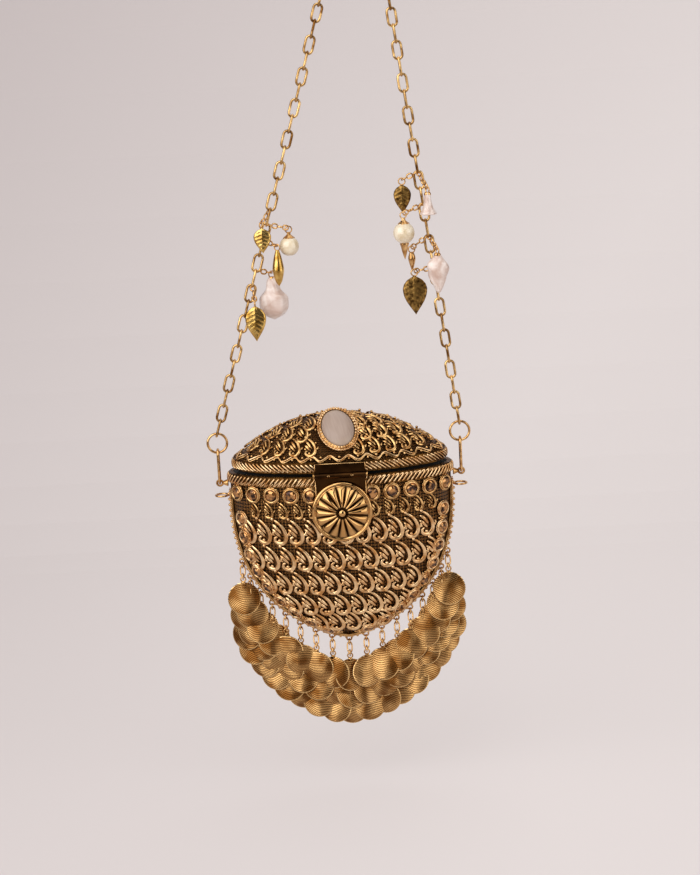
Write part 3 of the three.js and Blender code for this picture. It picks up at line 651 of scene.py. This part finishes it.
def coil_round(half_w, half_d, low_z, high_z, pitch, thick, slant, per_turn):
    turns = np.linspace(0, math.tau, 721)
    steps = lengths([(half_w * math.cos(t), half_d * math.sin(t)) for t in turns])
    count = round(steps[-1] / pitch)
    path = []
    for i in range(count * per_turn):
        phase = math.tau * i / per_turn
        where = steps[-1] * i / (count * per_turn) + slant * math.cos(phase)
        t = np.interp(where % steps[-1], steps, turns)
        out = thick * (1 + math.sin(phase)) / 2
        z = (low_z + high_z) / 2 + (high_z - low_z) / 2 * math.cos(phase)
        path.append(((half_w + out) * math.cos(t), (half_d + out) * math.sin(t), z))
    return path


low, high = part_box("lid_band")
LID_LOW = (low.z - DATUM.z) * 1000
LID_HIGH = (high.z - DATUM.z) * 1000
LID_OUT = (high.x - low.x) * 500
for name, body, half_w, half_d, low_z, high_z, slant in (
    ("rim_rope", "bag", HALF_W + 1.2, HALF_D + 1.2, -5.4, -0.8, 2.3),
    ("lid_rope", "lid", LID_OUT - 0.7, HALF_D + 0.9, 2.9, 7.1, -2.3),
):
    path = coil_round(half_w, half_d, low_z, high_z, 2.6, 1.3, slant, per_turn=14)
    wind(name, path, 0.44, body, scroll_gilt, closed=True)


# Lid: a domed cover of the same woven wire, with one row of scrolls low down and another near the crown.
# A doubled wavy wire with shot in its hollows runs above the plaited edge.
low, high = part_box("lid_shell")
LID_W = (high.x - low.x) * 500
LID_TOP = (high.z - DATUM.z) * 1000
LID_RISE = LID_TOP - LID_HIGH


def dome(turn, share, out=0.0):
    z = LID_HIGH + (LID_RISE + out) * (1 - share**2.1)
    return np.array(((LID_W + out) * share * math.cos(turn), (HALF_D + out) * share * math.sin(turn), z))


def dome_rows(out, base):
    edge = dome(0, 1, out)[2]
    rows = [[dome(t, 1, out) + (0, 0, base - edge) for t in turns]]
    return rows + [[dome(t, s, out) for t in turns] for s in shares]


turns = around(128)
shares = [math.cos(a) for a in np.linspace(0, math.pi / 2 - 0.01, 26)]
outer, inner = dome_rows(0, LID_LOW), dome_rows(-1, LID_LOW)
rows = [*inner[::-1], *outer]
verts, faces = sheet_of(rows, closed=True)
n = len(turns)
faces += [tuple(range(n)), tuple((len(rows) - 1) * n + k for k in reversed(range(n)))]
uv = []
for row in rows:
    rise = math.hypot(row[0][0] - LID_W, row[0][2] - LID_HIGH)
    uv += [(s, rise) for s in lengths(row)]
lid = new_piece("lid_woven", verts, faces, "lid", mesh_wire, uv, "gilt", ("lid_shell",))
face_outward(lid.data)


def under_stone(p):
    return (p[0] / 12.5) ** 2 + ((p[1] + 15) / 11.5) ** 2 < 1


def dome_spots(share, pitch, shift, out=0.2):
    """Even spots round the lid at one share of its width, but for those under the stone."""
    spots = []
    turns = np.linspace(-math.pi / 2, 1.5 * math.pi, 721)
    steps = lengths([dome(t, share, out) for t in turns])
    count = max(1, round(steps[-1] / pitch))
    for k in range(count):
        turn = np.interp((k + shift) % count * steps[-1] / count, steps, turns)
        here = dome(turn, share, out)
        if under_stone(here):
            continue
        along = dome(turn + 1e-3, share, out) - dome(turn - 1e-3, share, out)
        up = dome(turn, max(share - 0.01, 0), out) - dome(turn, share + 0.01, out)
        spots.append((here, along, np.cross(along, up)))
    return spots


lid_rows = (0.82, 0.2, 0.86), (0.62, 0.7, 0.9), (0.42, 0.3, 0.9), (0.2, 0.1, 0.82)
for k, (share, shift, large) in enumerate(lid_rows):
    spots = dome_spots(share, 8.8, shift)
    set_parts(f"lid_scrolls_{k}", scroll, spots, "lid", burnished, size=large)
for k, share in enumerate((0.76, 0.55)):
    spots = dome_spots(share, 4.4, 0.1, out=0.5)
    set_parts(f"lid_beads_{k}", ball(0.8, segments=7), spots, "lid", bright_gilt)


def wave_round(share_mid, out, swing=0.028, period=10.4):
    """A wavy line round the lid, ten points to a wave, and the spots in its hollows."""
    turns = np.linspace(-math.pi / 2, 1.5 * math.pi, 1441)
    steps = lengths([dome(t, share_mid, out) for t in turns])
    count = round(steps[-1] / period) * 10
    path, hollows = [], []
    for i in range(count):
        turn = np.interp(steps[-1] * i / count, steps, turns)
        path.append(dome(turn, share_mid + swing * math.cos(math.tau * i / 10), out))
        if i % 5 == 0:
            side = -1 if i % 10 else 1
            here = dome(turn, share_mid - side * swing * 0.4, out)
            ahead = dome(turn + 1e-3, share_mid + swing * (-0.1 * side), out)
            hollows.append((here, ahead - here, here * (0.3, 1, 1)))
    return path, hollows


path, hollows = wave_round(0.955, 0.9)
wind("lid_wave", path, 0.55, "lid", scroll_gilt, closed=True)
wind("lid_wave_outer", wave_round(0.968, 1.3)[0], 0.38, "lid", bright_gilt, closed=True)
set_parts("lid_shot", ball(0.8), hollows, "lid", bright_gilt)

# Cabochon: an oval of milky cat's-eye glass, held by a ring of rolled beads on the slope of the lid.
# The glass is ground from striped rod; a pale cat's-eye sheen is painted along it as streaks, and it is
# painted lighter towards its rim, under a polished skin.
STONE_LEAN, STONE_TURN, STONE_AT = math.radians(46), math.radians(14), -15
STONE_LIFT = 0.6
slope = Matrix.Rotation(math.pi / 2 - STONE_LEAN, 3, "X") @ Matrix.Rotation(STONE_TURN, 3, "Z")
dome_z = LID_HIGH + LID_RISE * (1 - (-STONE_AT / HALF_D) ** 2.1)
seat_y = STONE_AT - STONE_LIFT * math.cos(STONE_LEAN)
seat = Vector((0, seat_y, dome_z + STONE_LIFT * math.sin(STONE_LEAN)))


def moved(part, turn=None, shift=(0, 0, 0)):
    turn = turn or Matrix.Identity(3)
    return [tuple(turn @ Vector(v) + Vector(shift)) for v in part[0]], part[1]


def oval(out, z, share=1.0, n=56):
    return ring_points((9 + out) * share, z, n, deep=(12.5 + out) * share)


def length_of(tree, vector):
    return add(tree, "ShaderNodeVectorMath", {0: vector}, operation="LENGTH").outputs["Value"]


cats_eye, tree = blank("cats_eye_glass")
place = uv_of(tree)
# Painted sheen: pale streaks along the stone's long axis.
painted_sheen_streak = add(tree, "ShaderNodeMapping", {"Vector": place, "Scale": (0.9, 0.1, 1.0)}).outputs[0]
painted_sheen_streak = add(tree, "ShaderNodeTexNoise", {"Vector": painted_sheen_streak, "Scale": 1.0, "Detail": 2.0})
milk = blend(tree, painted_sheen_streak.outputs["Fac"], "#8c7668", "#a69082")
# Painted highlight: the stone is lighter towards its rim, a painted rim glow.
milk = blend(tree, ramp(tree, length_of(tree, place), 8.5, 14.0), milk, "#a8937f")
coat = {"Coat Weight": 0.22, "Coat Roughness": 0.05}
shown(tree, {"Base Color": milk, "Roughness": 0.5, "IOR": 1.52, **coat})
rows = [oval(0, 0), oval(0, 1)]
for share in (0.985, 0.94, 0.87, 0.78, 0.66, 0.52, 0.36, 0.18):
    rows.append(oval(0, 1 + 4 * math.sqrt(1 - share * share), share))
oval_stone = capped(rows)
flat_uv = [v[:2] for v in oval_stone[0]]
oval_stone = moved(oval_stone, slope, seat)
new_piece("cabochon", *oval_stone, "lid", cats_eye, flat_uv, "cat_eye", ("stone",))

collar = together(
    tube(oval(1.9, 0.3, n=64), 0.6, 6, closed=True),
    *[moved(ball(0.72), shift=p) for p in oval(0.8, 1.5, n=40)],
    *[moved(ball(0.55), shift=p) for p in oval(2.1, 0.9, n=48)],
)
new_piece("cabochon_beads", *moved(collar, slope, seat), "lid", scroll_gilt, slot="gilt")

# Clasp button: a pressed dome with sixteen flutes, a rolled rim and a small boss, riveted to the flap.
# It is brightly polished; its grooves and the ring round the boss are painted dark as shade, from the height
# of each flute kept in the UV map.
BUTTON = Vector((0, -30.3, -19.6))
FACETS = 256
DOME = 14.6  # millimetres from the middle to the rim
facing = Matrix.Rotation(math.pi / 2, 3, "X")
polish, tree = blank("hand_polished_gilt")
haze = noise(tree, 160.0, 4.0)
crest = add(tree, "ShaderNodeSeparateXYZ", {0: uv_of(tree)}).outputs[1]
tone = blend(tree, haze, "#ac7a40", "#dcb076")
# Painted shade: the colour goes near black where the flutes sink into their grooves and round the boss.
tone = blend(tree, ramp(tree, crest, 0.3, 0.9), "#241204", tone)
sheen = ramp(tree, haze, 0, 1, 0.05, 0.12)
shown(tree, {"Base Color": tone, "Metallic": 1.0, "Roughness": sheen})


def fluted(share):
    """One ring of the dome, and for each point its share of the width and height of flute."""
    height = 1.0 + 4.6 * math.sqrt(1 - share * share * 0.92)
    depth = 1.5 * min(max(share - 0.14, 0) / 0.3, 1) * min((1.02 - share) / 0.12, 1)
    row, crests = [], []
    for a in around(FACETS):
        lobe = abs(math.cos(8 * a)) ** 0.8
        # Inside a fifth of the width the flute height is nought, so the ring round the boss takes the
        # painted shade.
        crests.append((share, lobe if share > 0.2 else 0.0))
        wide, lift = DOME * share, height + depth * (lobe - 0.7)
        row.append((wide * math.cos(a), wide * math.sin(a), lift))
    return row, crests


rim = (15.4, 0.5), (15.4, 0), (17, 0), (17, 1.2), (16.7, 1.9), (16, 2.3), (15.3, 2.1), (14.9, 1.2)
rows = [ring_points(r, z, FACETS) for r, z in rim]
uv = [(1.0, 1.0)] * (len(rim) * FACETS)
for share in (1, 0.97, 0.93, 0.88, 0.8, 0.7, 0.6, 0.5, 0.42, 0.34, 0.27, 0.2, 0.14, 0.08):
    row, crests = fluted(share)
    rows.append(row)
    uv += crests
boss = moved(turned([(2.0, 0), (1.9, 0.5), (1.3, 0.9), (0.3, 1.1)], 24), shift=(0, 0, 5.4))
button = together(capped(rows), boss)
uv += [(0.0, 1.0)] * (len(button[0]) - len(uv))
button = moved(button, facing, BUTTON)
new_piece("fluted_button", *button, "clasp", polish, uv, "bright_gilt", ("clasp_button",))

# Clasp plates: bright wires along the corners of the two leaves and of their knuckles stand for painted edge
# highlights. The fine bright lines are drawn wire, half sunk in the plates and in the knuckles.
KNUCKLE_OUT = 2.03  # the knuckles stand this far in front of the plates
WIRE = 0.25
for name, body, knuckle, lowest, highest in (
    ("clasp_bracket", "lid", 6.0, 3.1, math.inf),
    ("clasp_flap", "clasp", 7.1, -math.inf, -1.2),
):
    low, high = ((v - DATUM) * 1000 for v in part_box(name))
    plate_y, knuckle_y = low.y + KNUCKLE_OUT, low.y + 0.1
    left, right = low.x + WIRE, high.x - WIRE
    start, end = max(low.z + 0.3, lowest), min(high.z - 0.3, highest)
    edge_z = start if body == "clasp" else end
    parts = [tube([(x, plate_y, start), (x, plate_y, end)], WIRE) for x in (left, right)]
    for x in (-knuckle, knuckle):
        parts.append(tube([(x, knuckle_y, 0.6), (x, knuckle_y, 1.4)], 0.2))
    parts.append(tube([(left, plate_y, edge_z), (right, plate_y, edge_z)], WIRE))
    new_piece(f"{name}_edges", *together(*parts), body, bright_gilt, slot="old_gilt")

# Side fittings: a cast eye on each end of the rim, a long loop of thick wire and a round split ring.
# The eyes and the small spare rings ride on the pouch; the loops and rings hang from the chain.
BALANCE = -1.78  # the eyes stand this far forward of the middle of the rim
SIDE = 69.0
EYE_Z = -6.4


def bent_loop(bow, wire, straight, segments=12, sides=10):
    """A long link in the plane of the first and second axes, its length along the second."""
    path = []
    for end in (1, -1):
        for a in np.linspace(0, math.pi, segments):
            path.append((end * bow * math.cos(a), end * (straight / 2 + bow * math.sin(a)), 0))
    return tube(path, wire, sides, closed=True)


upright = Matrix.Rotation(math.pi / 2, 3, "X")
edgewise = Matrix.Rotation(math.pi / 2, 3, "Z") @ upright
for side, name in ((-1, "left"), (1, "right")):
    x = side * SIDE
    eye = moved(hoop(1.65, 0.6, segments=24, sides=8), upright, (x, BALANCE, EYE_Z))
    stem = [(side * out, BALANCE, EYE_Z) for out in (64.2, 65, 66.4, 67.8)]
    eye = together(eye, tube(stem, [2.1, 1.9, 1.3, 0.9], 12))
    loop = moved(bent_loop(2.6, 0.78, 14.3), edgewise, (x, BALANCE, 3.35))
    ring = moved(hoop(5.5, 0.72, segments=48, sides=10), upright, (x, BALANCE, 16.85))
    spare = moved(hoop(3.6, 0.6, segments=32, sides=8), None, (side * 68.3, 0, -14))
    for label, part, body, finish, slot, stood_for in (
        ("cast_eye_", eye, "bag", gilt, "gilt", "side_eye_"),
        ("wire_loop_", loop, "strap", bright_gilt, "bright_gilt", "side_loop_"),
        ("split_ring_", ring, "strap", bright_gilt, "bright_gilt", "round_ring_"),
        ("spare_split_ring_", spare, "bag", bright_gilt, "bright_gilt", "spare_ring_"),
    ):
        new_piece(label + name, *part, body, finish, slot=slot, hides=(stood_for + name,))

# Chain: long oval links of thick polished wire, each turned a quarter from the last.
# Both strands end at the level link by which the pouch is hung.
chain_gilt = plated("polished_gilt_link_wire", "#ecc282", "#7a5024", 0.12, 0.26, bump=0.04, speckle=6.0)
PITCH, LEFT, RIGHT, ACROSS = 9.0, 36, 34, 27.0
FOOT = 21.35
head_gap = (PITCH + 1.1) / 2
HANG = FOOT + math.sqrt((RIGHT * PITCH) ** 2 - (SIDE - ACROSS - head_gap) ** 2)
strands = {
    "left": (Vector((-SIDE, BALANCE, FOOT)), Vector((ACROSS - head_gap, BALANCE, HANG)), LEFT),
    "right": (Vector((SIDE, BALANCE, FOOT)), Vector((ACROSS + head_gap, BALANCE, HANG)), RIGHT),
}
link = bent_loop(2.34, 0.72, 2 * (4.98 - 2.34), segments=9, sides=8)
small_link = bent_loop(1.2, 0.48, 1.5, segments=6, sides=6)
JUMP_PITCH, JUMP_LONG = 3.1, 4.74

# Charms: each hangs from the chain by a few jump rings and swings at its own ring.
# The place is the top of the charm's body; its ring and jump rings stand above it.
charm_tops = {
    "charm_leaf_ribbed": ("left", (-36.2, -6, 138.4)),
    "charm_pearl_left": ("left", (-21.7, -1, 134.7)),
    "charm_seed": ("left", (-28.4, -6, 125.5)),
    "charm_tulip": ("left", (-32.4, 2.6, 109.7)),
    "charm_leaf_veined": ("left", (-42.6, -7, 95.4)),
    "charm_leaf_slim": ("right", (42.6, 1.5, 157.8)),
    "charm_bell": ("right", (56.2, -8, 153.3)),
    "charm_pearl_right": ("right", (42.4, -4, 139.6)),
    "charm_spike": ("right", (46.4, 3, 119.5)),
    "charm_leaf_dark": ("right", (47.3, 0, 106.8)),
    "charm_conch": ("right", (60.2, -8.4, 119.5)),
}
link_spots = {"left": [], "right": []}
jump_spots = {"left": [], "right": []}
front = Vector((0, -1, 0))
for name, (foot, top, count) in strands.items():
    line = (top - foot).normalized()
    for i in range(count):
        out = front if i % 2 else line.cross(front).normalized()
        link_spots[name].append((foot.lerp(top, (i + 0.5) / count), line.cross(out), out))
ring_lines = {}
for name, (side, (x, y, z)) in charm_tops.items():
    foot, top, count = strands[side]
    pivot = Vector((x, y + BALANCE, z + 2.45))
    step = (top.z - foot.z) / count
    anchor = foot.lerp(top, math.ceil((pivot.z + 1 - foot.z) / step) / count)
    out = Vector((pivot.x - anchor.x, pivot.y - BALANCE, 0)).normalized()
    ring_lines[name] = (pivot, out)
    run = pivot - anchor
    count = max(1, round(run.length / JUMP_PITCH))
    level = Vector((out.y, -out.x, 0))
    size = (1, (run.length / count + 0.8) / JUMP_LONG, 1)
    for i in range(count):
        turned_out = level if i % 2 else run.normalized().cross(level).normalized()
        across = run.normalized().cross(turned_out)
        jump_spots[side].append((anchor + run * (i + 0.5) / count, across, turned_out, size))
for side in ("left", "right"):
    hides = ("chain_" + side,)
    spots = link_spots[side]
    set_parts("chain_links_" + side, link, spots, "strap", chain_gilt, hides)
    spots = jump_spots[side]
    set_parts("jump_rings_" + side, small_link, spots, "strap", bright_gilt)
level_link = moved(link, Matrix.Rotation(math.pi / 2, 3, "Z"), (ACROSS, BALANCE, HANG - 1.0))
new_piece("level_link", *level_link, "strap", chain_gilt, slot="bright_gilt", hides=("hang_link",))


def leaf(width, length, veins, slant, n=27, m=15):
    """A cast leaf that hangs down from the origin, its ribs raised on the front."""
    outline_x = [0.0, 0.3, 0.44, 0.49, 0.475, 0.43, 0.35, 0.24, 0.12, 0.0]
    front_rows, back_rows = [], []
    for i in range(n):
        s = i / (n - 1)
        half = max(width * np.interp(s, np.linspace(0, 1, 10), outline_x), 0.06)
        front_row, back_row = [], []
        for j in range(m):
            t = 2 * j / (m - 1) - 1
            vein = abs(math.sin(math.pi * (s * veins - abs(t) * slant))) ** 0.7
            rib = math.exp(-((t * half) ** 2) / 0.35)
            lift = 0.15 + 0.55 * vein * (1 - t * t) ** 0.3 * (1 - rib) + 0.75 * rib * (1 - s * 0.6)
            curl = -0.5 * math.sin(math.pi * s) * (1 - t * t)
            front_row.append((t * half, curl - lift, -s * length))
            back_row.append((t * half, curl + 0.4, -s * length))
        front_rows.append(front_row)
        back_rows.append(back_row[::-1])
    return sheet_of([[*f, *b] for f, b in zip(front_rows, back_rows)], closed=True)


def shaped(profile, flat=1.0, lobes=0, depth=0.0, twist=0.0, segments=40, steps=4):
    """A turned body hanging from the origin, with lobes that run down it."""
    turns = around(segments)
    rows = []
    for r, _, z in smooth_path([(r, 0, z) for r, z in profile], steps):
        wide = [max(r, 0.02) * (1 + depth * math.cos(lobes * a + twist * z)) for a in turns]
        rows.append([(w * math.cos(a), w * math.sin(a) * flat, z) for w, a in zip(wide, turns)])
    return capped(rows)


def nacre(name, pale, tint, rough, coat):
    made, tree = blank(name)
    cloud = noise(tree, 140.0, 3.0, Distortion=1.2)
    look = {"Base Color": blend(tree, ramp(tree, cloud, 0.35, 0.65), tint, pale), "IOR": 1.55}
    shown(tree, {**look, "Roughness": rough, "Coat Weight": coat, "Coat Roughness": 0.08})
    return made


pearl_skin = nacre("pearl_lacquered_glass", "#e6d8c0", "#ccb795", 0.2, 0.5)
shell_skin = nacre("polished_pink_shell", "#dfcfc6", "#c2a596", 0.28, 0.3)
dark_leaf = plated("antique_gilt_leaf", "#a98246", "#4a3216", 0.28, 0.45, speckle=2.0)
bright_leaf = plated("stamped_gilt_leaf", "#e3bd70", "#a37832", 0.18, 0.32, speckle=4.0)
cap = [(0.5, 0.3), (0.9, 0.1), (1.2, -1.2), (2.4, -2.3), (3.2, -3.0), (3.0, -3.4)]
cap = shaped(cap, lobes=7, depth=0.07)


def bead(radius):
    return moved(ball(radius, segments=40, rings=24), shift=(0, 0, -radius - 2.2))


seed = (0.3, 0.3), (1, 0), (2.2, -4), (3.1, -9), (3.1, -12), (1.9, -17), (0.1, -20)
spike = (0.3, 0.2), (1.1, 0), (2.1, -3), (1.6, -6), (0.1, -11)
bell = (0.4, 0.2), (1.4, 0), (1.9, -4), (2.7, -8), (4.3, -11.2), (4.0, -12), (0.4, -12.3)
tulip = (1, 0.2), (2, 0), (3.4, -2.5), (4.2, -7), (7.6, -11), (8.0, -14), (7.6, -18)
tulip += (5.2, -21.5), (0.5, -23.8)
conch = (0.4, 0.2), (1.2, 0), (3, -2.4), (5.2, -5), (6.0, -8), (5.3, -12), (3.3, -17)
conch += (1.4, -21), (0.2, -22)
bodies = {
    "charm_leaf_ribbed": (leaf(10, 14, 7, 0.9), bright_leaf, "gilt"),
    "charm_leaf_veined": (leaf(12, 20, 8, 1.4), bright_leaf, "gilt"),
    "charm_leaf_slim": (leaf(10, 16, 7, 1.1), dark_leaf, "gilt"),
    "charm_leaf_dark": (leaf(14, 22, 8, 1.5), dark_leaf, "old_gilt"),
    "charm_seed": (shaped(seed), bright_leaf, "bright_gilt"),
    "charm_spike": (shaped(spike), bright_gilt, "gilt"),
    "charm_tulip": (shaped(tulip, 0.6, 5, 0.07, 0.06), shell_skin, "shell_white"),
    "charm_bell": (shaped(bell, 1.0, 8, 0.06), shell_skin, "shell_white"),
    "charm_conch": (shaped(conch, 0.66, 3, 0.06, 0.7), shell_skin, "shell_white"),
    "charm_pearl_left": (bead(5.5), pearl_skin, "pearl"),
    "charm_pearl_right": (bead(6), pearl_skin, "pearl"),
}
for name, (side, (x, y, z)) in charm_tops.items():
    part, finish, slot = bodies[name]
    spot = (x, y + BALANCE, z)
    new_piece(name + "_body", *moved(part, None, spot), name, finish, slot=slot, hides=(name,))
    pivot, out = ring_lines[name]
    turn = Matrix.Rotation(math.atan2(out.y, out.x), 3, "Z") @ upright
    extra = [moved(hoop(1.85, 0.36), turn, pivot - Vector((0, 0, 0.8)))]
    if "pearl" in name:
        extra.append(moved(cap, None, spot))
    if name == "charm_pearl_right":
        tail = [(0.6, -13.4), (2.4, -14), (1.9, -16), (1.3, -19), (0.1, -23)]
        extra.append(moved(shaped(tail, lobes=6, depth=0.05), None, spot))
    if name in ("charm_tulip", "charm_conch", "charm_bell"):
        collar = [(0.4, 0.5), (1.5, 0.3), (1.9, -0.6), (1.8, -1.4)]
        extra.append(moved(shaped(collar, 0.8), None, spot))
    new_piece(name + "_ring", *together(*extra), name, bright_gilt)


# Seam edging: a gilt strip over the joint of the shells, soldered, with twisted wire and shot along it.
# Crystals in cups and small knots follow it on both faces; eyelets on its edge carry the fringe.
EDGE_OUT = 0.45


def seam_line(out, start, steps=160):
    first = math.asin(start / DEEP)
    right = []
    for i in range(steps + 1):
        a = first + (math.pi / 2 - first) * i / steps
        depth = DEEP * math.sin(a)
        x = axes_at(min(depth, DEEP - 1e-6))[0] + out * math.cos(a)
        right.append((x if i < steps else 0.0, -depth - out * math.sin(a)))
    return np.array([*right, *[(-x, z) for x, z in right[-2::-1]]])


def spaced(line, count):
    steps = lengths(line)
    wanted = np.linspace(0, steps[-1], count)
    return np.stack([np.interp(wanted, steps, line[:, 0]), np.interp(wanted, steps, line[:, 1])], axis=1)


edge = spaced(seam_line(EDGE_OUT + 1.1, 10.5), 900)
for k, y in enumerate((-2.3, 2.3)):
    for phase in (0, math.pi):
        path = []
        for i, (x, z) in enumerate(edge):
            a = i * 0.8 + phase
            path.append((x + 0.42 * math.cos(a), y + 0.42 * math.sin(a), z))
        wind(f"seam_twist_{k}_{int(phase > 0)}", path, 0.34, "bag", scroll_gilt)
path = [(x, 0, z) for x, z in seam_line(0.2, 3)]
wind("seam_solder", path, 0.85, "bag", dark_gilt)
edge = spaced(seam_line(EDGE_OUT + 1.9, 13), 74)
shot = [((x, 0, z), (0, 1, 0), (x, 0, z * 0.6)) for x, z in edge]
set_parts("seam_shot", ball(0.95, segments=7), shot, "bag", bright_gilt)
seam_stones, seam_knots = [], []
rows = spaced(seam_line(0, 20), 41)
for side, half in ((-1, rows[20:][::-1]), (1, rows[:21])):
    for face in (-1, 1):
        for step, z in enumerate(half[1:-2, 1]):
            turn = face * math.acos(max(1 - 5.2 / axes_at(-z)[0], 0.2))
            spot = spot_on(turn if side > 0 else math.pi - turn, -z, 0.6)
            (seam_knots if step % 2 else seam_stones).append(spot)
ends = [ball(0.8, (x, 0, 0.2), 6, 4) for x in (2.6, -2.6)]
knot = together(hoop(1.5, 0.5, 0.3, 12), ball(1.1, (0, 0, 0.6)), *ends)
set_parts("seam_knots", knot, seam_knots, "bag", bright_gilt)
set_parts("seam_cups", cup, seam_stones, "bag", scroll_gilt)
set_parts("seam_crystals", brilliant(3.35, 1.7, 0.4), seam_stones, "bag", topaz, smooth=False)

# Fringe: seventeen drops of three stamped discs, engraved with fine waved arcs and softly brushed.
# Each drop hangs from its eyelet by small oval links, and lies over its neighbour nearer the middle.
DROPS, LAYER, ROW, PITCH_DOWN = 17, 0.85, 3.4, 11.6
DISC = 9.5
disc_gilt, tree = blank("engraved_brushed_gilt_disc")
place = uv_of(tree)
split = add(tree, "ShaderNodeSeparateXYZ", {0: place}).outputs
swell = maths(tree, "SINE", maths(tree, "MULTIPLY", split[0], 0.55))
swell = maths(tree, "MULTIPLY", swell, 0.3)
off = add(tree, "ShaderNodeVectorMath", {0: place, 1: (0, 15, 0)}, operation="ADD").outputs[0]
arc = maths(tree, "ADD", length_of(tree, off), swell)
arc = maths(tree, "SINE", maths(tree, "MULTIPLY", arc, math.tau / 1.05))
tone = blend(tree, ramp(tree, noise(tree, 110.0, 1.0), 0.36, 0.64), "#7e5226", "#dcae70")
tone = blend(tree, ramp(tree, arc, -0.9, 0.1), "#6a4018", tone)
# Painted highlight: the outer edge of each disc is painted bright, as a glint on its rim.
tone = blend(tree, ramp(tree, length_of(tree, place), 8.9, 9.3), tone, "#f0c88a")
relief = bumped(tree, arc, 0.55, 0.00018)
shown(tree, {"Base Color": tone, "Metallic": 1.0, "Roughness": 0.24, "Normal": relief})


def stamped_disc(rise=1.5, thick=0.4):
    """Round and slightly domed, its face towards the third axis."""
    shares = (0.02, 0.3, 0.55, 0.78, 0.93, 1.0)
    front = [ring_points(DISC * s, rise * (1 - s * s), 36) for s in shares]
    back = [[(x, y, z - thick) for x, y, z in row] for row in front[::-1]]
    verts, faces = capped([*front, *back])
    return verts, [f[::-1] for f in faces], [v[:2] for v in verts]


eyelets = spaced(seam_line(EDGE_OUT + 1.4 + 1.5 - 0.2, 52), DROPS)[::-1]
lean = LAYER * (DROPS - 1) / (eyelets[-1][0] - eyelets[0][0])
random = np.random.default_rng(7)
disc_spots, ear_spots, link_spots_drop, eyelet_spots = [], [], [], []
for k, (x, z) in enumerate(eyelets):
    order = k - (DROPS - 1) // 2
    layer = lean * abs(x) - LAYER * abs(order) if order else 1.0
    plane = layer - ROW
    seat_z = z - 0.3 - DISC
    eyelet_spots.append(((x, 0, z), (1, 0, 0), (0, -1, 0)))
    start, end = Vector((x, 0, z - 1.0)), Vector((x, plane, seat_z + 0.2))
    run = end - start
    line = run.normalized()
    across_out = line.cross(front).cross(line).normalized()
    for i, (share, long) in enumerate(((0.14, 0.9), (0.5, 1.5), (0.86, 0.9))):
        out = across_out if i == 1 else line.cross(across_out)
        link_spots_drop.append((start + run * share, line.cross(out), out, (1.0, long, 1.0)))
    lean_turn = math.atan(lean)
    facing_out = Vector((math.sin(np.sign(order) * lean_turn), -math.cos(lean_turn), 0))
    for row in range(3):
        ear_z = seat_z - 0.2 - PITCH_DOWN * row
        depth = layer + ROW * (row - 1)
        nod = Vector((random.uniform(-0.34, 0.34), 0, random.uniform(-0.2, 0.3)))
        spin = random.uniform(-0.35, 0.35)
        along = Vector((math.cos(spin), 0, math.sin(spin)))
        disc_spots.append(((x, depth, ear_z - 11.7), along, facing_out + nod))
        ear_spots.append(((x, depth, ear_z), (1, 0, 0), facing_out))
drops = [f"fringe_drop_{k + 1:02d}" for k in range(DROPS)]
set_parts("fringe_discs", stamped_disc(), disc_spots, "bag", disc_gilt, drops)
neck = tube([(0, -1.2, 0), (0, -2.8, 0)], [1.0, 1.5], 8, flat=0.3)
tab = together(hoop(1.45, 0.42, segments=14), neck)
set_parts("fringe_ears", tab, ear_spots, "bag", disc_gilt)
drop_link = bent_loop(1.35, 0.42, 1.3, segments=7, sides=6)
set_parts("fringe_links", drop_link, link_spots_drop, "bag", bright_gilt)
eyelet = hoop(1.5, 0.46, segments=14)
set_parts("fringe_eyelets", eyelet, eyelet_spots, "bag", bright_gilt)


# Linings: black flock on stiff card, matt and soft.
# It shows only in the slit under the lid.
flock, tree = blank("black_nylon_flock")
nap = noise(tree, 2500.0, 2.0)
look = {"Base Color": blend(tree, nap, "#060505", "#17130f"), "Roughness": 0.95}
look.update({"Sheen Weight": 0.15, "Specular IOR Level": 0.1})
shown(tree, {**look, "Normal": bumped(tree, nap, 0.5, 0.0002)})
for name in ("lining", "lid_lining"):
    wear(name, flock)

size = {"cad": [list(v) for v in cad_box], "visual": [list(v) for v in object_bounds()]}
